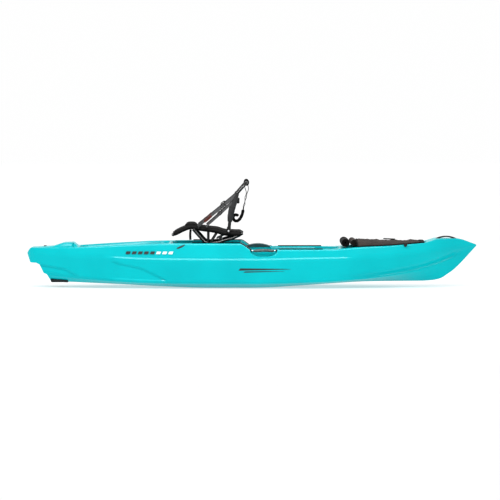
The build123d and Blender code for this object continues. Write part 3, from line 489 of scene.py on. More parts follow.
def side_relief(x, sz):
    """How far the mould's pressed shapes take the sides in, at heights sz of each station x."""
    x = x[:, None]
    top, breadth, knuckle, chine = top_edge(x), *(read_line(k, x / HALF) for k in (BREADTH, KNUCKLE, CHINE))
    above = sz - chine
    over = sz - knuckle
    # pressed panels low on the side and on the stern quarter
    along = smoothstep((x + 1160) / 30) * smoothstep((-690 - x) / 30)
    crease = np.interp(x, [-1151, -1118, -1076, -911, -696], [245, 213, 205, 171, 70])
    stern = np.interp(x, [-1751, -1553, -1481, -1427], [192, 163, 127, 109])
    stern_along = smoothstep((-1420 - x) / 40)
    high = smoothstep((above - 12) / 20)
    panel = smoothstep((crease - sz) / 9) * along * high
    low = smoothstep((stern - sz) / 9) * stern_along
    # narrow shelf along the knuckle, where the light catches, easing out to the gunwale
    shelf = smoothstep((over + 3) / 14) * (1 - smoothstep((over - 12) / np.maximum(top - knuckle - 12, 1)))
    shelf *= smoothstep((x + 1250) / 200) * smoothstep((900 - x) / 200)
    # the mould leaves a narrow groove under each panel's edge and along the stern's chine
    groove = np.exp(-((crease - 6 - sz) / 7) ** 2) * along * high
    groove += np.exp(-((stern - 6 - sz) / 7) ** 2) * stern_along
    groove += np.exp(-((above - 4) / 7) ** 2) * smoothstep((-700 - x) / 300) * 0.8
    # hollow flare above the bow's chine
    flare = np.exp(-((above - 20) / 19) ** 2) * smoothstep((x - 650) / 500) * smoothstep((1790 - x) / 150)
    return 5 * groove + 10 * flare + 9 * panel + 10 * low + 26 * flare * breadth ** 0.5 + 7 * shelf


def deck_stations(rim, outer, inner):
    """Distances off the centre line across the deck, from rim to keel line, closer over the walls."""
    rim, outer, inner = rim[:, None], outer[:, None], inner[:, None]
    near = np.minimum(30.0, 0.45 * (outer - inner))
    out_start = outer + np.minimum(near, 0.5 * (rim - outer))
    t = np.linspace(0, 1, 4)[None, 1:-1]
    c_start, c_end = outer - near, inner + near
    return np.concatenate([
        rim * (1 - t) + out_start * t,
        out_start + (outer - near - out_start) * np.linspace(0, 1, 15)[None],
        c_start * (1 - t) + c_end * t,
        c_end + (inner - near - c_end) * np.linspace(0, 1, 13)[None],
        (inner - near) * np.linspace(1, 0, 7)[None, 1:]], axis=1)


def hull_points():
    """Closed grid around the hull: keel, bottom, sides and deck, stations by columns."""
    x = stations()
    share = x / HALF
    top = top_edge(x)
    full = half_breadth(x)
    keel = np.maximum(read_line(KEEL, share), np.where(x < -1655, np.interp(x, *np.array(STERN_CUT).T), -99))
    chine_y = full * read_line(CHINE_SHARE, share)
    flat = np.maximum(chine_y * read_line(FLAT_SHARE, share), 4.0)
    knuckle = read_line(KNUCKLE, share)
    edge = np.where(top > knuckle, topside_half(x, top), full)
    # walls of the wells, which the deck's columns follow
    ledge = np.interp(x, [-700, -645, -95, -70, 520, 700, 740], [0, 349, 349, 366, 366, 246, 0])
    tank = well_half(x, TANK_AFT, TANK_FORE, TANK_RIM) + 7
    tank = np.where((x > TANK_AFT - 60) & (x < -671), tank, 0)
    bow = np.where(x > 742, well_half(x, BOW_AFT, BOW_FORE, BOW_RIM) + 7, 0)
    outer = np.where(x < TANK_AFT - 60, edge * 0.6, np.maximum.reduce([ledge, tank, bow]))
    outer = np.minimum(outer, edge - 0.14 * full)
    inner = np.where((x > -660) & (x < -80), 232.0, outer - 62)
    inner = np.clip(inner, 0.25 * outer, outer - 0.12 * outer)
    rim = edge - 0.05 * full - 3
    corners = np.stack([np.stack(p, -1) for p in (
        (np.zeros_like(x), read_line(KEEL, share)), (flat, read_line(KEEL, share)),
        (chine_y, read_line(CHINE, share)), (full, knuckle), (edge, np.maximum(top, knuckle)),
        (rim, np.maximum(top, knuckle)))], axis=1)
    side = rounded_chain(corners, (0, 34, 20, 30, 14, 0), (4, 6, 24, 12, 1), (0, 4, 8, 14, 5))
    sy, sz = side[..., 0], side[..., 1]
    sy = sy - side_relief(x, sz)
    sz = np.clip(sz, keel[:, None], top[:, None])
    dy = deck_stations(rim, outer, inner)
    dz = np.maximum(deck_height(np.broadcast_to(x[:, None], dy.shape), dy), keel[:, None] + 1.0)
    dz[0], dz[-1] = top[0], top[-1]
    y = np.concatenate([sy, dy], axis=1)
    z = np.concatenate([sz, dz], axis=1)
    half = np.stack([np.broadcast_to(x[:, None], y.shape), y, z], -1)
    other = half[:, -2:0:-1] * np.array([1, -1, 1])
    return np.concatenate([half, other], axis=1) * MM


def rounded_box(name, low, high, radius, segments=4):
    """Box between two corners with its edges rounded; used as a cutter."""
    work = bmesh.new()
    bmesh.ops.create_cube(work, size=1.0)
    low, high = np.array(low, float), np.array(high, float)
    for v in work.verts:
        v.co = Vector((low + high) / 2 + (high - low) * np.array(v.co))
    bmesh.ops.bevel(work, geom=work.edges[:], offset=radius, segments=segments, profile=0.5, affect="EDGES")
    mesh = bpy.data.meshes.new(name)
    work.to_mesh(mesh)
    work.free()
    return placed(name, mesh)


def cut(obj, cutters):
    """Takes the cutters' shapes out of an object and removes them."""
    for cutter in cutters:
        knife = obj.modifiers.new("cut", "BOOLEAN")
        knife.operation = "DIFFERENCE"
        knife.solver = "EXACT"
        knife.object = cutter
        apply_modifiers(obj)
        bpy.data.objects.remove(cutter)
    return obj


def make_hull(made):
    """Hull skin: the grid of hull_points, closed at both ends, less the trunk and the side scoops."""
    hull = surface("hull", hull_points(), wrap_columns=True, caps=True)
    tidy(hull, 2e-5)
    cutters = [rounded_box("trunk", (0.080, -0.055, -0.1), (0.340, 0.055, 0.2), 0.03)]
    for side in (-1, 1):
        t = np.linspace(0, 1, 12)
        path = np.stack([0 * t + 0.095, side * (0.424 + 0.14 * t), 0 * t + 0.332], -1)
        grow = (0.72 + 0.28 * np.sqrt(1 - (1 - np.clip(t / 0.3, 0, 1)) ** 2))[:, None, None]
        section = superellipse(0.070, 0.112, 2.7, 64)[None] * grow
        scoop = surface("scoop", carried(path, section, across=(1, 0, 0)), wrap_columns=True, caps=True)
        cutters.append(tidy(scoop))
    cut(hull, cutters)
    shade_smooth(hull.data)
    clad(hull, made)
    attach(hull, "hull")
    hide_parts("hull_shell")
    return hull


def on_side(x, z, lift=0.5):
    """Points on the starboard side at stations x and heights z, lifted off the skin; in metres."""
    return np.stack([x, -(side_half(x, z) + lift), z], -1) * MM


def patch(name, bottom, top, count, rows=6, lift=0.6):
    """Thin decal on the starboard side between two lines of (x, z) points."""
    t = np.linspace(0, 1, count)
    low, high = [np.stack([np.interp(t, np.linspace(0, 1, len(p)), column)
                           for column in np.array(p, float).T], -1) for p in (bottom, top)]
    u = np.linspace(0, 1, rows)[:, None, None]
    plan = low[None] * (1 - u) + high[None] * u
    return surface(name, on_side(plan[..., 0], plan[..., 1], lift))


def mirrored(obj):
    """Adds the port twin of a starboard piece to its own mesh."""
    work = bmesh.new()
    work.from_mesh(obj.data)
    found = bmesh.ops.duplicate(work, geom=work.verts[:] + work.edges[:] + work.faces[:])["geom"]
    twins = [g for g in found if isinstance(g, bmesh.types.BMVert)]
    bmesh.ops.scale(work, vec=(1, -1, 1), verts=twins)
    bmesh.ops.reverse_faces(work, faces=[g for g in found if isinstance(g, bmesh.types.BMFace)])
    work.to_mesh(obj.data)
    work.free()
    return obj


def joined(name, objects):
    """One object from several, each keeping its own shape."""
    work = bmesh.new()
    for obj in objects:
        work.from_mesh(obj.data)
    mesh = bpy.data.meshes.new(name)
    work.to_mesh(mesh)
    work.free()
    for obj in objects:
        bpy.data.objects.remove(obj)
    return placed(name, mesh)


def tube(name, path, radius, count=16, closed=False, across=(0, 1, 0)):
    """Round tube along a path in metres; radius may change along it."""
    path = np.asarray(path, float)
    a = angles(count)
    profile = np.stack([np.cos(a), np.sin(a)], -1)[None] * np.broadcast_to(radius, len(path))[:, None, None]
    if closed:
        step = np.roll(path, -1, axis=0) - np.roll(path, 1, axis=0)
        tangent = unit(step)
        side = sideways(tangent, across)
        out = np.cross(side, tangent)
        points = path[:, None] + profile[..., :1] * out[:, None] + profile[..., 1:] * side[:, None]
        made = surface(name, points, wrap_rows=True, wrap_columns=True)
    else:
        made = surface(name, carried(path, profile, across), wrap_columns=True, caps=True)
    return tidy(made)


def cloth_lengths(grid):
    """Distance run along the rows and along the columns of a grid of points."""
    along = np.linalg.norm(np.diff(grid, axis=0), axis=2)
    across = np.linalg.norm(np.diff(grid, axis=1), axis=2)
    v = np.concatenate([np.zeros((1, grid.shape[1])), np.cumsum(along, axis=0)])
    u = np.concatenate([np.zeros((grid.shape[0], 1)), np.cumsum(across, axis=1)], axis=1)
    return u, v


def cloth(name, grid, thickness, made):
    """A walled sheet over a grid, with a UV map in metres; returns it and its flat size."""
    u, v = cloth_lengths(grid)
    obj = surface(name, grid, uv=np.stack([u, v], -1))
    thicken(obj, thickness, 0.0)
    tidy(obj, 1e-6)
    clad(obj, made)
    return obj, (float(u[:, -1].mean()), float(v[-1].mean()))


def dress(obj, body, slot, *nodes, made=None):
    """Says what a piece rides on and stands for; slot, the finish it takes, is not used."""
    if made is not None:
        clad(obj, made)
    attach(obj, body)
    if nodes:
        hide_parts(*nodes)
    return obj


# ---------------------------------------------------------------- seat, in millimetres

UPPER_LINE = [(-655, 436), (-554, 485), (-502, 502), (-435, 490), (-359, 480), (-293, 471), (-226, 452),
              (-160, 447), (-84, 445)]
BACK_LINE = [(-183, 546), (-178, 585), (-169, 635), (-149, 698), (-124, 778)]
PAN_HALF, BACK_HALF = 280.0, 306.0
SLING_THICK = 0.0024


def hammock(path, radius, half, sag, side_count=22, span_count=33):
    """Cloth sleeved round two rails and slung between them.

    Across each station it runs from the rail's inner underside round its outside to its crown, then hangs
    in a parabola to the other rail.  radius is the sleeve's, along the path.
    """
    turn = np.radians(np.linspace(40, 288, side_count))[None]
    radius = np.broadcast_to(radius, len(path))[:, None]
    across = -half + radius * np.cos(turn)
    out = radius * np.sin(turn)
    t = np.linspace(-1, 1, span_count + 2)[None, 1:-1]
    edge = across[:, -1:]
    span_y = -t * edge
    span_out = out[:, -1:] + np.broadcast_to(sag, len(path))[:, None] * (1 - t ** 2)
    profile = np.stack([np.concatenate([out, span_out, out[:, ::-1]], axis=1),
                        np.concatenate([across, span_y, -across[:, ::-1]], axis=1)], -1)
    return carried(path, profile) * MM


def lofted_path(points, count):
    """Smooth (x, 0, z) path through given points, evenly read along x or z."""
    p = np.array(points, float)
    s = np.concatenate([[0], np.cumsum(np.linalg.norm(np.diff(p, axis=0), axis=1))])
    t = np.linspace(0, s[-1], count)
    x = read_line(list(zip(s, p[:, 0])), t)
    z = read_line(list(zip(s, p[:, 1])), t)
    return np.stack([x, 0 * x, z], -1)


def pillow(name, path, half_out, half_across, power, ends, count=40, across=(0, 0, 1)):
    """Closed stuffed form along a path: a rounded section that swells from pinched ends.

    ends is the share of the length over which the section grows as a quarter circle.
    """
    t = np.linspace(0, 1, len(path))
    near = np.clip(np.minimum(t, 1 - t) / ends, 0.0, 1)
    grow = np.sqrt(np.maximum(1 - (1 - near) ** 2, 0.012))[:, None, None]
    section = superellipse(half_out, half_across, power, count)[None] * grow
    points = carried(path, section, across)
    return tidy(surface(name, points, wrap_columns=True, caps=True))


def seat_pan(made):
    """Woven pan: sleeved round both side rails, slack between them."""
    x = np.linspace(-640, -90, 66)
    z = read_line(UPPER_LINE, x)
    path = np.stack([x, 0 * x, z], -1)
    radius = np.interp(x, [-640, -628, -560, -300, -104, -90], [13.0, 15.8, 16.0, 18.5, 20.5, 14.0])
    radius += 0.5 * np.sin(x / 17)
    grid = hammock(path, radius, PAN_HALF, np.interp(x, [-640, -400, -90], [10, 24, 14]))
    obj, size = cloth("seat_pan", grid, SLING_THICK, made)
    dress(obj, "seat_frame", "sling_mesh", "seat_sling")
    return obj


def tube_caps(made):
    """Rounded plugs in the open ends of the side rails."""
    t = np.linspace(0, 1, 12)
    radius = 0.0132 * np.sqrt(np.maximum(1 - t ** 2, 0.004))
    caps = []
    for (x, z), (dx, dz) in (((-640, 443.3), (-20, -9.7)), ((-92, 445.1), (19, -0.2))):
        for y in (-PAN_HALF, PAN_HALF):
            path = np.stack([x + dx * t, 0 * t + y, z + dz * t], -1) * MM
            caps.append(tube("cap", path, radius, 20))
    dress(joined("rail_caps", caps), "seat_frame", "black_plastic", made=made)


def back_cloth(made):
    """Mesh sleeve slung between the legs of the backrest hoop."""
    path = lofted_path(BACK_LINE, 44)
    height = np.linspace(0, 1, len(path))
    radius = np.interp(height, [0, 0.12, 0.4, 0.8, 1], [16, 22, 25, 21, 16]) + 0.5 * np.sin(height * 40)
    grid = hammock(path, radius, BACK_HALF, radius * 0.95 + 8 * np.sin(np.pi * height))
    obj, size = cloth("back_cloth", grid, SLING_THICK, made)
    dress(obj, "backrest", "back_mesh", "backrest_mesh")
    return obj


def swell(obj, frames_run=14, voxel=0.006, pressure=3.0, most=0.006):
    """Blows a padded form up as cloth under pressure, no point moving further than `most`."""
    remesh = obj.modifiers.new("remesh", "REMESH")
    remesh.mode = "VOXEL"
    remesh.voxel_size = voxel
    apply_modifiers(obj)
    count = len(obj.data.vertices)
    before = np.zeros(count * 3)
    obj.data.vertices.foreach_get("co", before)
    air = obj.modifiers.new("air", "CLOTH")
    air.settings.use_pressure = True
    air.settings.uniform_pressure_force = pressure
    air.settings.effector_weights.gravity = 0.0
    air.settings.quality = 5
    air.point_cache.frame_start = 1
    air.point_cache.frame_end = frames_run
    for step in range(1, frames_run + 1):
        bpy.context.scene.frame_set(step)
    apply_modifiers(obj)
    after = np.zeros(count * 3)
    obj.data.vertices.foreach_get("co", after)
    move = (after - before).reshape(-1, 3)
    far = np.linalg.norm(move, axis=1, keepdims=True)
    move *= np.minimum(1, most / np.maximum(far, 1e-9))
    obj.data.vertices.foreach_set("co", (before.reshape(-1, 3) + move).ravel())
    shade_smooth(obj.data)
    bpy.context.scene.frame_set(1)
    return obj


def front_pad(made):
    """Foam roll across the front of the pan, with a piped seam low on each side."""
    y = np.linspace(-0.262, 0.262, 70)
    dip = 0.004 * (1 - (y / 0.262) ** 2)
    path = np.stack([0 * y - 0.504, y, 0.5155 - dip], -1)
    obj = pillow("front_pad", path, 0.047, 0.0155, 2.6, 0.05)
    swell(obj, most=0.004)
    dress(obj, "seat_frame", "pad_fabric", "seat_front_pad", made=made)
    a = angles(140)
    edge = np.stack([-0.504 + 0.048 * squared(np.cos(a), 0.35), 0.260 * squared(np.sin(a), 0.35),
                     0 * a + 0.5135], -1)
    piping = tube("front_pad_piping", edge, 0.0022, 8, closed=True, across=(0, 0, 1))
    dress(piping, "seat_frame", "pad_fabric", made=finish("nylon_piping"))


def top_pad(made):
    """Foam sleeve over the top rail of the backrest, laced shut along its back."""
    y = np.linspace(-0.192, 0.192, 60)
    path = np.stack([0 * y - 0.047, y, 0 * y + 0.864], -1)
    obj = pillow("top_pad", path, 0.0205, 0.0265, 2.3, 0.06, count=36, across=(-0.15, 0, 1))
    swell(obj, most=0.003)
    dress(obj, "backrest", "pad_fabric", "backrest_top_pad", made=made)


def curled_sleeve(made):
    """Foam rubber sleeve with the cord's tail tucked in, curled up on itself."""
    route = np.array([(-74, 640), (-76, 612), (-92, 572), (-118, 543), (-148, 548), (-160, 574), (-149, 598),
                      (-124, 600), (-115, 587)], float)
    path = spline(np.stack([route[:, 0], 0 * route[:, 0] - 100, route[:, 1]], -1), 70, 4) * MM
    t = np.linspace(0, 1, 70)
    radius = 0.0122 * (1 + 0.05 * np.sin(60 * t)) * np.interp(t, [0, 0.02, 0.97, 1], [0.75, 1, 1, 0.8])
    obj = tube("curled_sleeve", path, radius, 20)
    dress(obj, "backrest", "pad_fabric", "lash_sleeve", made=made)


# start, end, width, buckle's centre and buckle's size of each strap, and how far it is off the centre line
STRAPS = {"upper": ((-446, 508), (-124, 772), 22, (-237, 679), (42, 34)),
          "lower": ((-378, 508), (-157, 708), 17, (-265, 616), (34, 26))}
STRAP_Y = 321


def ribbon(name, start, end, y, width, sag=2.0, thick=1.3, turns=0.0, count=40):
    """Flat webbing between two (x, z) points at one y, standing on edge, with a slack bow."""
    t = np.linspace(0, 1, count)
    start, end = np.array(start, float), np.array(end, float)
    line = start + (end - start) * t[:, None]
    way = unit(end - start)
    line += np.array([way[1], -way[0]]) * (4 * sag * t * (1 - t))[:, None]
    path = np.stack([line[:, 0], np.full(count, float(y)), line[:, 1]], -1)
    twist = turns * np.sin(2 * np.pi * t)[:, None, None]
    section = np.broadcast_to(superellipse(width / 2, thick, 5, 24), (count, 24, 2))
    turned = np.concatenate([section[..., :1] * np.cos(twist) - section[..., 1:] * np.sin(twist),
                             section[..., :1] * np.sin(twist) + section[..., 1:] * np.cos(twist)], -1)
    grid = carried(path, turned) * MM
    u = np.broadcast_to(np.linspace(0, 2 * width * MM, 24)[None], (count, 24))
    v = np.broadcast_to(t[:, None] * np.linalg.norm(end - start) * MM, (count, 24))
    obj = surface(name, grid, wrap_columns=True, caps=True, uv=np.stack([u, v], -1))
    return tidy(obj, 1e-6)


def buckle(name, centre, size, y, way):
    """Ladder-lock buckle: a rounded frame round the webbing with a bar across it."""
    way = unit(np.array(way, float))
    turn = np.array([[way[0], way[1]], [-way[1], way[0]]])

    def standing(local):
        flat = local @ turn + np.array(centre, float)
        return np.stack([flat[:, 0], np.full(len(flat), float(y)), flat[:, 1]], -1) * MM

    outline = superellipse(size[0] / 2, size[1] / 2, 4, 48)
    pieces = [tube(name + "_rim", standing(outline), 0.0034, 12, closed=True)]
    t = np.linspace(-0.5, 0.5, 8)
    for share in (-0.12, 0.3):
        bar = np.stack([np.full(8, size[0] * share), size[1] * t], -1)
        pieces.append(tube(name + "_bar", standing(bar), 0.0028, 10))
    return joined(name, pieces)


def recline_straps(webbing, label, plastic):
    """Two webbing straps a side that hold the backrest, with their buckles and one dyed stretch."""
    for side, word in ((-1, "starboard"), (1, "port")):
        made = []
        for name, (start, end, width, spot, size) in STRAPS.items():
            strap = ribbon(f"strap_{name}_{word}", start, end, side * STRAP_Y, width, turns=0.12)
            clad(strap, webbing)
            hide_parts(f"recline_straps_{word}")
            way = np.array(end, float) - start
            lock = buckle(f"buckle_{name}_{word}", spot, size, side * STRAP_Y, way)
            clad(lock, plastic)
            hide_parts(f"recline_buckles_{word}")
            made += [strap, lock]
        dyed = ribbon(f"strap_dyed_{word}", (-394, 548.5), (-336, 597), side * STRAP_Y, 26, thick=2.0,
                      count=14)
        clad(dyed, label)
        for piece in [*made, dyed]:
            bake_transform(piece)


def release_strap(webbing):
    """Short pull loop under the front of the pan."""
    strap = ribbon("release_strap", (-504, 482), (-506, 396), -263.5, 18, sag=3, turns=0.05, count=24)
    dress(strap, "seat_frame", "webbing", "seat_release_strap", made=webbing)


def pan_lacing(made):
    """Cord laced in crosses from the hem of the pan to the rail under it."""
    y = np.linspace(-0.248, 0.248, 25)
    parts = []
    for phase in (0, 1):
        up = (np.arange(25) + phase) % 2
        path = np.stack([-0.292 + 0.085 * up, y, 0.404 + 0.038 * up], -1)
        t = np.linspace(0, 1, 6, endpoint=False)[None, :, None]
        fine = (path[:-1, None] * (1 - t) + path[1:, None] * t).reshape(-1, 3)
        parts.append(tube("lace", fine, 0.0021, 6, across=(0, 0, 1)))
    dress(joined("pan_lacing", parts), "seat_frame", "lash_cord", made=made)


# ---------------------------------------------------------------- cords

# distance off the centre line in metres, route and length in metres of each cord
LASH = {"aft": (-0.096, [(-61, 841), (-60, 822), (-50, 798), (-46, 770), (-60, 743), (-58, 700), (-74, 674),
                         (-74, 640)], 0.209),
        "fore": (-0.104, [(-34, 843), (-30, 822), (-31, 798), (-44, 770), (-46, 740), (-60, 710), (-57, 684),
                          (-70, 662), (-70, 640)], 0.211)}


def lash_cord(name, y, route, made):
    """Cord hanging from the top rail: a NURBS spline over its route."""
    curve = bpy.data.curves.new(f"lash_{name}", "CURVE")
    curve.dimensions = "3D"
    line = curve.splines.new("NURBS")
    line.points.add(len(route) - 1)
    flat = [value for x, z in route for value in (x * MM, y, z * MM, 1.0)]
    line.points.foreach_set("co", flat)
    line.order_u = 3
    line.use_endpoint_u = True
    curve.bevel_depth = 0.0025
    curve.bevel_resolution = 4
    curve.use_fill_caps = True
    obj = placed(f"lash_{name}", curve)
    curve.materials.append(made)
    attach(obj, "backrest")
    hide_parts(f"lash_cord_{name}")
    return obj


# ---------------------------------------------------------------- bow cover

DECK_LINE = [(690, 322), (880, 341), (1137, 350), (1418, 370)]
CROWN = [(865, 52), (944, 50), (1043, 40), (1143, 34), (1242, 27), (1341, 21), (1411, 13)]
COVER_AFT, COVER_FORE = 866, 1411


def cover_grid():
    """Cloth stretched over the bow well: a dome between its hems, with sags and long tension folds."""
    x = np.linspace(COVER_AFT, COVER_FORE, 150)[:, None]
    t = np.linspace(-1, 1, 91)[None]
    deck = eased(DECK_LINE, x[:, 0], 20.0)[:, None]
    y = (topside_half(x, deck) - 14) * t
    body = 1 - np.abs(t) ** 2.6
    z = deck + 5 + (read_line(CROWN, x) - 5) * body ** 0.8
    away = np.exp(-((x - 1259) / 26) ** 2)
    folds = (2.4 * np.sin(x / 23 + 2.2 * np.abs(t)) + 1.7 * np.sin(x / 11.5 - 3.1 * t + 1.0)
             + 1.1 * np.sin(x / 6.3 + 5 * t ** 2))
    z = z + folds * body * np.clip(np.minimum(x - COVER_AFT, COVER_FORE - x) / 30, 0, 1) - 5 * away * body
    return np.stack([np.broadcast_to(x, z.shape), y, z], -1) * MM


def bow_cover(cloth_made, hem_made):
    """Cover sheet with its black hem and end band."""
    grid = cover_grid()
    obj, size = cloth("bow_cover_cloth", grid, 0.0022, cloth_made)
    dress(obj, "hull", "cover_fabric", "bow_cover")
    edge = np.concatenate([grid[:, 0], grid[-1, 1:-1], grid[::-1, -1], grid[0, -2:0:-1]])
    hem = tube("bow_cover_hem", edge + [0, 0, -0.001], 0.0062, 10, closed=True, across=(0, 0, 1))
    dress(hem, "hull", "cover_fabric", made=hem_made)
    end = cloth("bow_cover_end", grid[-11:] + np.array([0.006, 0, 0.0022]), 0.0034, hem_made)[0]
    dress(end, "hull", "cover_fabric")


def roll(name, centre_x, radius, half, made, loose):
    """Cloth wound on itself: an Archimedean spiral carried across the hull."""
    turns, pitch, half_thick, start = 4.2, 6.4, 1.7, -0.9
    steps, rows = 150, 46
    a = np.linspace(0, 2 * np.pi * turns, steps)
    mid = radius - 2.0 - pitch * a / (2 * np.pi)
    outer, inner = mid + half_thick, mid - half_thick
    deck = np.interp(centre_x + radius, *np.array(DECK_LINE, float).T)
    height = deck + radius + 2.5
    loop = np.concatenate([np.stack([outer * np.cos(a + start), outer * np.sin(a + start)], -1),
                           np.stack([inner * np.cos(a + start), inner * np.sin(a + start)], -1)[::-1]])
    y = np.linspace(-half, half, rows)
    lump = 1 + loose * 0.03 * np.sin(y / 31.0) + loose * 0.02 * np.sin(y / 12.0 + 1)
    lump *= np.interp(np.abs(y), [0, half - 25, half], [1, 1, 0.94])
    points = np.zeros((rows, len(loop), 3))
    points[..., 0] = centre_x + loop[None, :, 0] * lump[:, None] + (loose * 3 * np.sin(y / 70))[:, None]
    points[..., 1] = y[:, None]
    points[..., 2] = height + loop[None, :, 1] * lump[:, None]
    points *= MM
    obj = surface(name, points, wrap_columns=True, uv=points[..., [1, 2]])
    work = bmesh.new()
    work.from_mesh(obj.data)
    work.verts.ensure_lookup_table()
    n = len(loop)
    # each end is closed by quads between the cloth's two faces
    for row, flip in ((0, True), (rows - 1, False)):
        base = row * n
        for i in range(steps - 1):
            quad = [work.verts[base + i], work.verts[base + i + 1], work.verts[base + n - 2 - i],
                    work.verts[base + n - 1 - i]]
            work.faces.new(quad[::-1] if flip else quad)
    bmesh.ops.recalc_face_normals(work, faces=work.faces)
    work.to_mesh(obj.data)
    work.free()
    clad(obj, made)
    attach(obj, "hull")
    return obj


def cover_rolls(brown, black):
    """The cover's spare cloth, rolled in two and tied down behind it."""
    aft = roll("cover_roll_aft", 764.0, 36.0, 300.0, black, 1.0)
    fore = roll("cover_roll_fore", 833.0, 30.0, 322.0, brown, 0.6)
    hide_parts("bow_cover_roll")
    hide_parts("bow_cover_roll")


# ---------------------------------------------------------------- hull's trim and marks


def carry_grips(made):
    """Arched rubber grips with shallow finger rings, swelling at mid length."""
    for side, word in ((-1, "starboard"), (1, "port")):
        t = np.linspace(-1, 1, 90)
        path = np.stack([95 + 86 * t, 0 * t + side * 455, 309.5 + 6 * (1 - t ** 2)], -1) * MM
        radius = 0.0086 + 0.0038 * (1 - t ** 4) + 0.0004 * np.sin(58 * t) * (np.abs(t) < 0.8)
        radius = radius * np.sqrt(np.clip((1 - np.abs(t)) / 0.04, 0.05, 1))
        grip = tube(f"carry_grip_{word}", path, radius, 24)
        dress(grip, f"handle_{word}", "grip_rubber", f"handle_grip_{word}", made=made)


def hull_trim(black, grey, white):
    """Black tube along the gunwale's step as painted shade of the cockpit behind the step; side scoops as
    flat black decals, partly their fittings' black and partly painted shade of a recess that is not cut; and
    plain tapered stripes.
    """
    # black tube along the step of the gunwale: painted shade, where the cockpit behind the step lies in
    # shadow
    x = np.linspace(-96, -8, 40)
    z = top_edge(x)
    path = np.stack([x, -(topside_half(x, z) - 4), z + 0.5], -1) * MM
    step_shade = mirrored(tube("edge_bead", path, 0.0052, 12))
    dress(step_shade, "hull", "black_plastic", made=black)
    # black crescents over the side scoops: the fittings' own black, and painted shade for a recess that is
    # not cut
    a = np.linspace(0, np.pi, 30)
    tilt = radians(24)
    turn = np.array([[np.cos(tilt), np.sin(tilt)], [-np.sin(tilt), np.cos(tilt)]])
    low, high = [np.stack([-38 * np.cos(a), bulge * np.sin(a)], -1) @ turn + np.array([-583.0, 346.0])
                 for bulge in (-9, 5)]
    scoop = mirrored(patch("side_scoop", low, high, 30, 5, 0.9))
    dress(scoop, "hull", "black_plastic", made=black)
    t = np.linspace(0, 1, 40)
    stripes = []
    for start, length, base, tall in ((-112, 420, 150, 17), (-72, 330, 133, 9)):
        lower = np.stack([start + length * t, base + 10 * t], -1)
        upper = np.stack([start + 16 + length * t, base + 1.5 + tall * (1 - t) ** 0.8 + 10 * t], -1)
        stripes.append(patch("stripe", lower, upper, 40))
    dress(mirrored(joined("side_stripes", stripes)), "hull", "turquoise_polyethylene", made=grey)
    for name, made, first, count in (("stern_bars_dark", black, -1036, 5),
                                     ("stern_bars_white", white, -786, 3)):
        bars = [patch("bar", [(first + k * 50, 284), (first + 34 + k * 50, 284)],
                      [(first + 9 + k * 50, 306), (first + 43 + k * 50, 306)], 8, 6) for k in range(count)]
        dress(mirrored(joined(name, bars)), "hull", "turquoise_polyethylene", made=made)
    # the skid plate's upturned flange on the stern's bilge
    x = np.linspace(-1660, -1519, 20)
    share = x / HALF
    chine_y = half_breadth(x) * read_line(CHINE_SHARE, share)
    flat_y = chine_y * read_line(FLAT_SHARE, share)
    rise = np.linspace(0, 0.36, 6)[:, None]
    y = flat_y - 3 + rise * (chine_y - flat_y)
    z = read_line(KEEL, share) - 2.4 + rise * (read_line(CHINE, share) - read_line(KEEL, share))
    flange = surface("skid_flange", np.stack([np.broadcast_to(x, y.shape), -y, z], -1) * MM)
    dress(mirrored(thicken(flange, 0.003, 0.0)), "hull", "black_skid", made=finish("skid_polyethylene"))


# ---------------------------------------------------------------- finishes

def chosen():
    """The colours set in the panel."""
    return bpy.context.scene.kayak_colours


MATERIALS = {
    "rotomoulded_polyethylene": lambda: polyethylene(chosen()),
    "moulded_nylon": lambda: moulded_black("moulded_nylon"),
    "moulded_lid": lambda: moulded_black("moulded_lid", chosen().lid_dark, chosen().lid, 0.4),
    "skid_polyethylene": lambda: moulded_black("skid_polyethylene", "#020d12", "#07161c", 0.5),
    "printed_grey": lambda: moulded_black("printed_grey", "#2c3437", "#394347", 0.35),
    "printed_white": lambda: moulded_black("printed_white", "#dfe6e6", "#f2f6f6", 0.35),
    "powder_coated_aluminium": powder_coat,
    "anodised_aluminium": lambda: bare_metal("anodised_aluminium", "#0b0c0d", "#18191b", 0.34),
    "polished_stainless": lambda: bare_metal("polished_stainless", "#b9bbbc", "#d8dadb", 0.28),
    "machined_brass": lambda: bare_metal("machined_brass", "#a8842f", "#d0aa4a", 0.3),
    "moulded_grip_rubber": rubber,
    "polyester_cover": lambda: woven("polyester_cover", chosen().cover_dark, chosen().cover, 0.005,
                                     fine=60.0),
    "polyester_roll": lambda: woven("polyester_roll", "#070606", "#1d1817", 0.005, fine=60.0),
    "bound_hem": lambda: woven("bound_hem", "#020202", "#0a0a0b", 0.004, uv=False),
    "pan_vinyl_mesh": lambda: woven("pan_vinyl_mesh", "#020202", "#0b0b0c", 0.0045, rough=0.7, sheen=0.01),
    "back_vinyl_mesh": lambda: woven("back_vinyl_mesh", "#1b1b1c", "#454546", 0.0045, rough=0.75),
    "pad_nylon": lambda: woven("pad_nylon", "#020202", "#0a0a0b", 0.004, uv=False, sheen=0.01),
    "nylon_piping": lambda: woven("nylon_piping", "#030303", "#0f0f10", 0.003, uv=False),
    "polyester_webbing": lambda: woven("polyester_webbing", chosen().webbing_dark, chosen().webbing, 0.0032),
    "dyed_webbing": lambda: woven("dyed_webbing", chosen().marker_dark, chosen().marker, 0.0032),
    "braided_cord": lambda: woven("braided_cord", "#050505", "#1c1c1d", 0.002, uv=False),
    "white_cord": lambda: woven("white_cord", "#8f9394", "#e2e5e5", 0.002, uv=False),
    "buoyancy_foam": lambda: moulded_black("buoyancy_foam", "#d8d8d2", "#ecece6", 0.9),
}


def finish(name):
    """The material of that name, made the first time it is asked for."""
    return bpy.data.materials.get(name) or MATERIALS[name]()


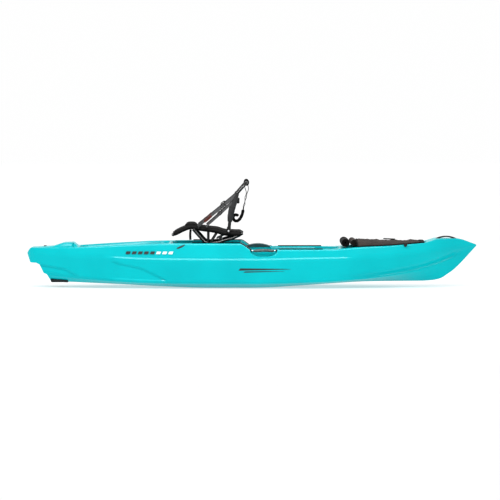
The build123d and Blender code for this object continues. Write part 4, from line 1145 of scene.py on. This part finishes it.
# CAD nodes that keep their own mesh, by finish; a name may stand for its port and starboard twins
KEPT = {
    "powder_coated_aluminium": ("backrest_hoop", "seat_side_frame", "seat_cross_tubes"),
    "anodised_aluminium": ("seat_rail", "gear_track_aft", "gear_track_fore", "foot_brace_rail",
                           "backrest_pivot_spacers"),
    "polished_stainless": ("seat_rail_screws", "gear_track_screws", "skid_plate_screws", "handle_pins",
                           "console_hinge_pin", "backrest_pivot_bolts"),
    "machined_brass": ("stern_inserts",),
    "moulded_nylon": ("backrest_slider", "bow_handle", "bow_cover_catches", "foot_pedal", "handle_brackets",
                      "seat_carriage", "seat_lock_knob", "recline_strap_anchors", "bow_cover_toggle",
                      "scupper_plugs", "drain_plug"),
    "rotomoulded_polyethylene": ("console_body",),
    "moulded_lid": ("console_lid",),
    "skid_polyethylene": ("skid_plate",),
    "buoyancy_foam": ("foam_block_bow", "foam_block_stern"),
}


def finish_frame():
    """Gives every CAD node that stays its finish."""
    for name, words in KEPT.items():
        made = finish(name)
        for word in words:
            found = [n for n in (word, word + "_port", word + "_starboard") if n in NODES]
            if not found:
                raise RuntimeError(f"no node named {word}")
            for node in found:
                slots = NODES[node].material_slots
                for entry in slots:
                    entry.link = "OBJECT"
                    entry.material = made
                if not slots:
                    NODES[node].data.materials.append(made)


# ---------------------------------------------------------------- stage


FLOOR_HALF, FLOOR_DROP = 70.0, 0.0005
# position, aim and size of each lamp; its power is a setting of the same name
LAMPS = {"key": ((-1.5, -3.6, 5.2), (-0.2, -0.4, 0.25), (5.5, 0.35)),
         "fill": ((4.0, -6.0, 2.0), (0, 0, 0.3), (8.0, 5.0)),
         "rim": ((1.0, 5.0, 4.0), (0, 0, 0.4), (6.0, 4.0)),
         "gleam": ((0.0, -3.2, 3.0), (0.0, -0.45, 0.26), (7.0, 0.5))}


def make_stage(size):
    """Pale floor, bright even sky and four large soft lamps."""
    axis = np.linspace(-FLOOR_HALF, FLOOR_HALF, 3)
    gx, gy = np.meshgrid(axis, axis, indexing="ij")
    floor = surface("floor", np.stack([gx, gy, 0 * gx - FLOOR_DROP], -1))
    made, tree, shader = new_material("painted_floor", Roughness=0.9)
    place = mottle(tree, shader, "#aeaeaf", "#b4b4b5", 0.6)
    grain(tree, shader, place, 60.0, 0.0003, 0.1)
    # a light table's faint glow keeps the shadow under the keel pale
    shader.inputs["Emission Color"].default_value = linear("#ffffff")
    shader.inputs["Emission Strength"].default_value = 0.5
    clad(floor, made)
    world = bpy.data.worlds.new("sky")
    world.use_nodes = True
    sky = world.node_tree.nodes["Background"]
    sky.inputs["Color"].default_value = linear("#ffffff")
    sky.inputs["Strength"].default_value = size.sky
    bpy.context.scene.world = world
    for name, (spot, aim, width) in LAMPS.items():
        lamp = bpy.data.lights.new(name, "AREA")
        lamp.shape = "RECTANGLE"
        lamp.size, lamp.size_y = width
        lamp.energy = getattr(size, name)
        obj = placed(name, lamp)
        obj.location = spot
        obj.visible_diffuse = name != "gleam"
        obj.rotation_euler = (Vector(aim) - Vector(spot)).to_track_quat("-Z", "Y").to_euler()
    shown = bpy.context.scene.view_settings
    shown.view_transform = "Standard"
    shown.gamma = 0.86
    shown.exposure = 0.10


def make_camera(size):
    """Long lens, square on to the starboard side and a little above it."""
    lens = bpy.data.cameras.new("camera")
    lens.sensor_width = 36.0
    lens.lens = 36.0 * size.distance / size.width
    lens.clip_end = 400.0
    camera = placed("camera", lens)
    rise = radians(size.elevation)
    aim = Vector((size.aim_x, 0, size.aim_z))
    camera.location = aim + Vector((0, -np.cos(rise), np.sin(rise))) * size.distance
    camera.rotation_euler = (aim - camera.location).to_track_quat("-Z", "Y").to_euler()
    bpy.context.scene.camera = camera


# ---------------------------------------------------------------- add-on


def colour(name, description, code):
    return bpy.props.FloatVectorProperty(name=name, description=description, subtype="COLOR", size=4, min=0.0,
                                         max=1.0, default=linear(code))


class KayakColours(bpy.types.PropertyGroup):
    """Colours a user would change."""
    hull: colour("Hull", "Polyethylene of the hull", "#00c4ca")
    hull_dark: colour("Hull, deep", "Slow drift of the hull's tone", "#00bbc2")
    cover: colour("Cover", "Raised threads of the bow cover", "#4b3f39")
    cover_dark: colour("Cover, deep", "Between the threads of the bow cover", "#1c1513")
    webbing: colour("Webbing", "Raised threads of the recline straps", "#6e6e6f")
    webbing_dark: colour("Webbing, deep", "Between the threads of the straps", "#2b2b2c")
    marker: colour("Marker", "Dyed stretch of the upper strap", "#7c4238")
    marker_dark: colour("Marker, deep", "Between the threads of the dyed stretch", "#3a1511")
    lid: colour("Lid", "Console lid", "#0f5a5e")
    lid_dark: colour("Lid, deep", "Slow drift of the lid's tone", "#0b464a")


class KayakView(bpy.types.PropertyGroup):
    """The camera and the lamps."""
    distance: bpy.props.FloatProperty(name="Distance", description="Camera to aim point", default=35.0,
                                      unit="LENGTH")
    width: bpy.props.FloatProperty(name="Width", description="Width seen at the hull", default=4.14,
                                   unit="LENGTH")
    elevation: bpy.props.FloatProperty(name="Elevation", description="Camera above the horizon, degrees",
                                       default=2.0)
    aim_x: bpy.props.FloatProperty(name="Aim X", description="Aim point along the hull", default=-0.017,
                                   unit="LENGTH")
    aim_z: bpy.props.FloatProperty(name="Aim Z", description="Aim point's height", default=0.303,
                                   unit="LENGTH")
    sky: bpy.props.FloatProperty(name="Sky", description="Strength of the even light", default=0.93)
    key: bpy.props.FloatProperty(name="Key", description="Key lamp, watts", default=150.0, unit="POWER")
    fill: bpy.props.FloatProperty(name="Fill", description="Fill lamp, watts", default=10.0, unit="POWER")
    gleam: bpy.props.FloatProperty(name="Gleam", description="Lamp seen only as gloss, watts", default=800.0,
                                   unit="POWER")
    rim: bpy.props.FloatProperty(name="Rim", description="Lamp behind the hull, watts", default=14.0,
                                 unit="POWER")


class KAYAK_OT_camera(bpy.types.Operator):
    """Camera square on to the starboard side."""
    bl_idname = "kayak.camera"
    bl_label = "Camera"

    def execute(self, context):
        make_camera(context.scene.kayak_view)
        return {"FINISHED"}


class KAYAK_OT_cords(bpy.types.Operator):
    """The two lash cords that hang from the backrest."""
    bl_idname = "kayak.cords"
    bl_label = "Lash cords"

    def execute(self, context):
        for name, (y, route, length) in LASH.items():
            lash_cord(name, y, route, finish("braided_cord"))
        return {"FINISHED"}


class KAYAK_OT_hull(bpy.types.Operator):
    """Hull skin with its wells."""
    bl_idname = "kayak.hull"
    bl_label = "Hull"

    def execute(self, context):
        make_hull(finish("rotomoulded_polyethylene"))
        return {"FINISHED"}


class KAYAK_OT_trim(bpy.types.Operator):
    """Painted-shade tube on the gunwale's step, side scoop decals partly painted shade, printed stripes and
    carry grips.
    """
    bl_idname = "kayak.trim"
    bl_label = "Hull trim"

    def execute(self, context):
        hull_trim(finish("moulded_nylon"), finish("printed_grey"), finish("printed_white"))
        carry_grips(finish("moulded_grip_rubber"))
        return {"FINISHED"}


class KAYAK_OT_cover(bpy.types.Operator):
    """Bow cover, its hem and its rolled ends."""
    bl_idname = "kayak.cover"
    bl_label = "Bow cover"

    def execute(self, context):
        bow_cover(finish("polyester_cover"), finish("bound_hem"))
        cover_rolls(finish("polyester_cover"), finish("polyester_roll"))
        return {"FINISHED"}


class KAYAK_OT_seat(bpy.types.Operator):
    """Cloth of the seat: pan, back, pads and lacing."""
    bl_idname = "kayak.seat"
    bl_label = "Seat cloth"

    def execute(self, context):
        seat_pan(finish("pan_vinyl_mesh"))
        back_cloth(finish("back_vinyl_mesh"))
        front_pad(finish("pad_nylon"))
        top_pad(finish("pad_nylon"))
        curled_sleeve(finish("pad_nylon"))
        tube_caps(finish("moulded_nylon"))
        pan_lacing(finish("white_cord"))
        return {"FINISHED"}


class KAYAK_OT_straps(bpy.types.Operator):
    """Recline straps, their buckles and the release strap."""
    bl_idname = "kayak.straps"
    bl_label = "Straps"

    def execute(self, context):
        recline_straps(finish("polyester_webbing"), finish("dyed_webbing"), finish("moulded_nylon"))
        release_strap(finish("bound_hem"))
        return {"FINISHED"}


class KAYAK_OT_fittings(bpy.types.Operator):
    """Finishes of the fittings that keep their own shape."""
    bl_idname = "kayak.fittings"
    bl_label = "Fittings"

    def execute(self, context):
        finish_frame()
        return {"FINISHED"}


class KAYAK_OT_stage(bpy.types.Operator):
    """Floor, sky and lamps."""
    bl_idname = "kayak.stage"
    bl_label = "Stage"

    def execute(self, context):
        make_stage(context.scene.kayak_view)
        return {"FINISHED"}


STEPS = (KAYAK_OT_camera, KAYAK_OT_cords, KAYAK_OT_hull, KAYAK_OT_trim, KAYAK_OT_cover, KAYAK_OT_seat,
         KAYAK_OT_straps, KAYAK_OT_fittings, KAYAK_OT_stage)


class KAYAK_PT_panel(bpy.types.Panel):
    """Lists the pieces of the kayak."""
    bl_idname = "KAYAK_PT_panel"
    bl_label = "Fishing kayak"
    bl_space_type = "VIEW_3D"
    bl_region_type = "UI"
    bl_category = "Kayak"

    def draw(self, context):
        for step in STEPS:
            self.layout.operator(step.bl_idname)
        for name in ("hull", "hull_dark"):
            self.layout.prop(context.scene.kayak_colours, name)
        for name in ("distance", "width", "elevation", "sky", "key", "fill", "rim"):
            self.layout.prop(context.scene.kayak_view, name)


CLASSES = (KayakColours, KayakView, *STEPS, KAYAK_PT_panel)


def register():
    for made in CLASSES:
        bpy.utils.register_class(made)
    bpy.types.Scene.kayak_colours = bpy.props.PointerProperty(type=KayakColours)
    bpy.types.Scene.kayak_view = bpy.props.PointerProperty(type=KayakView)


def unregister():
    del bpy.types.Scene.kayak_view
    del bpy.types.Scene.kayak_colours
    for made in reversed(CLASSES):
        bpy.utils.unregister_class(made)


def main():
    """Registers the add-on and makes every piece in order."""
    register()
    for step in STEPS:
        group, name = step.bl_idname.split(".")
        if getattr(getattr(bpy.ops, group), name)() != {"FINISHED"}:
            raise RuntimeError(f"{step.bl_label} was not finished")


if __name__ == "__main__":
    main()
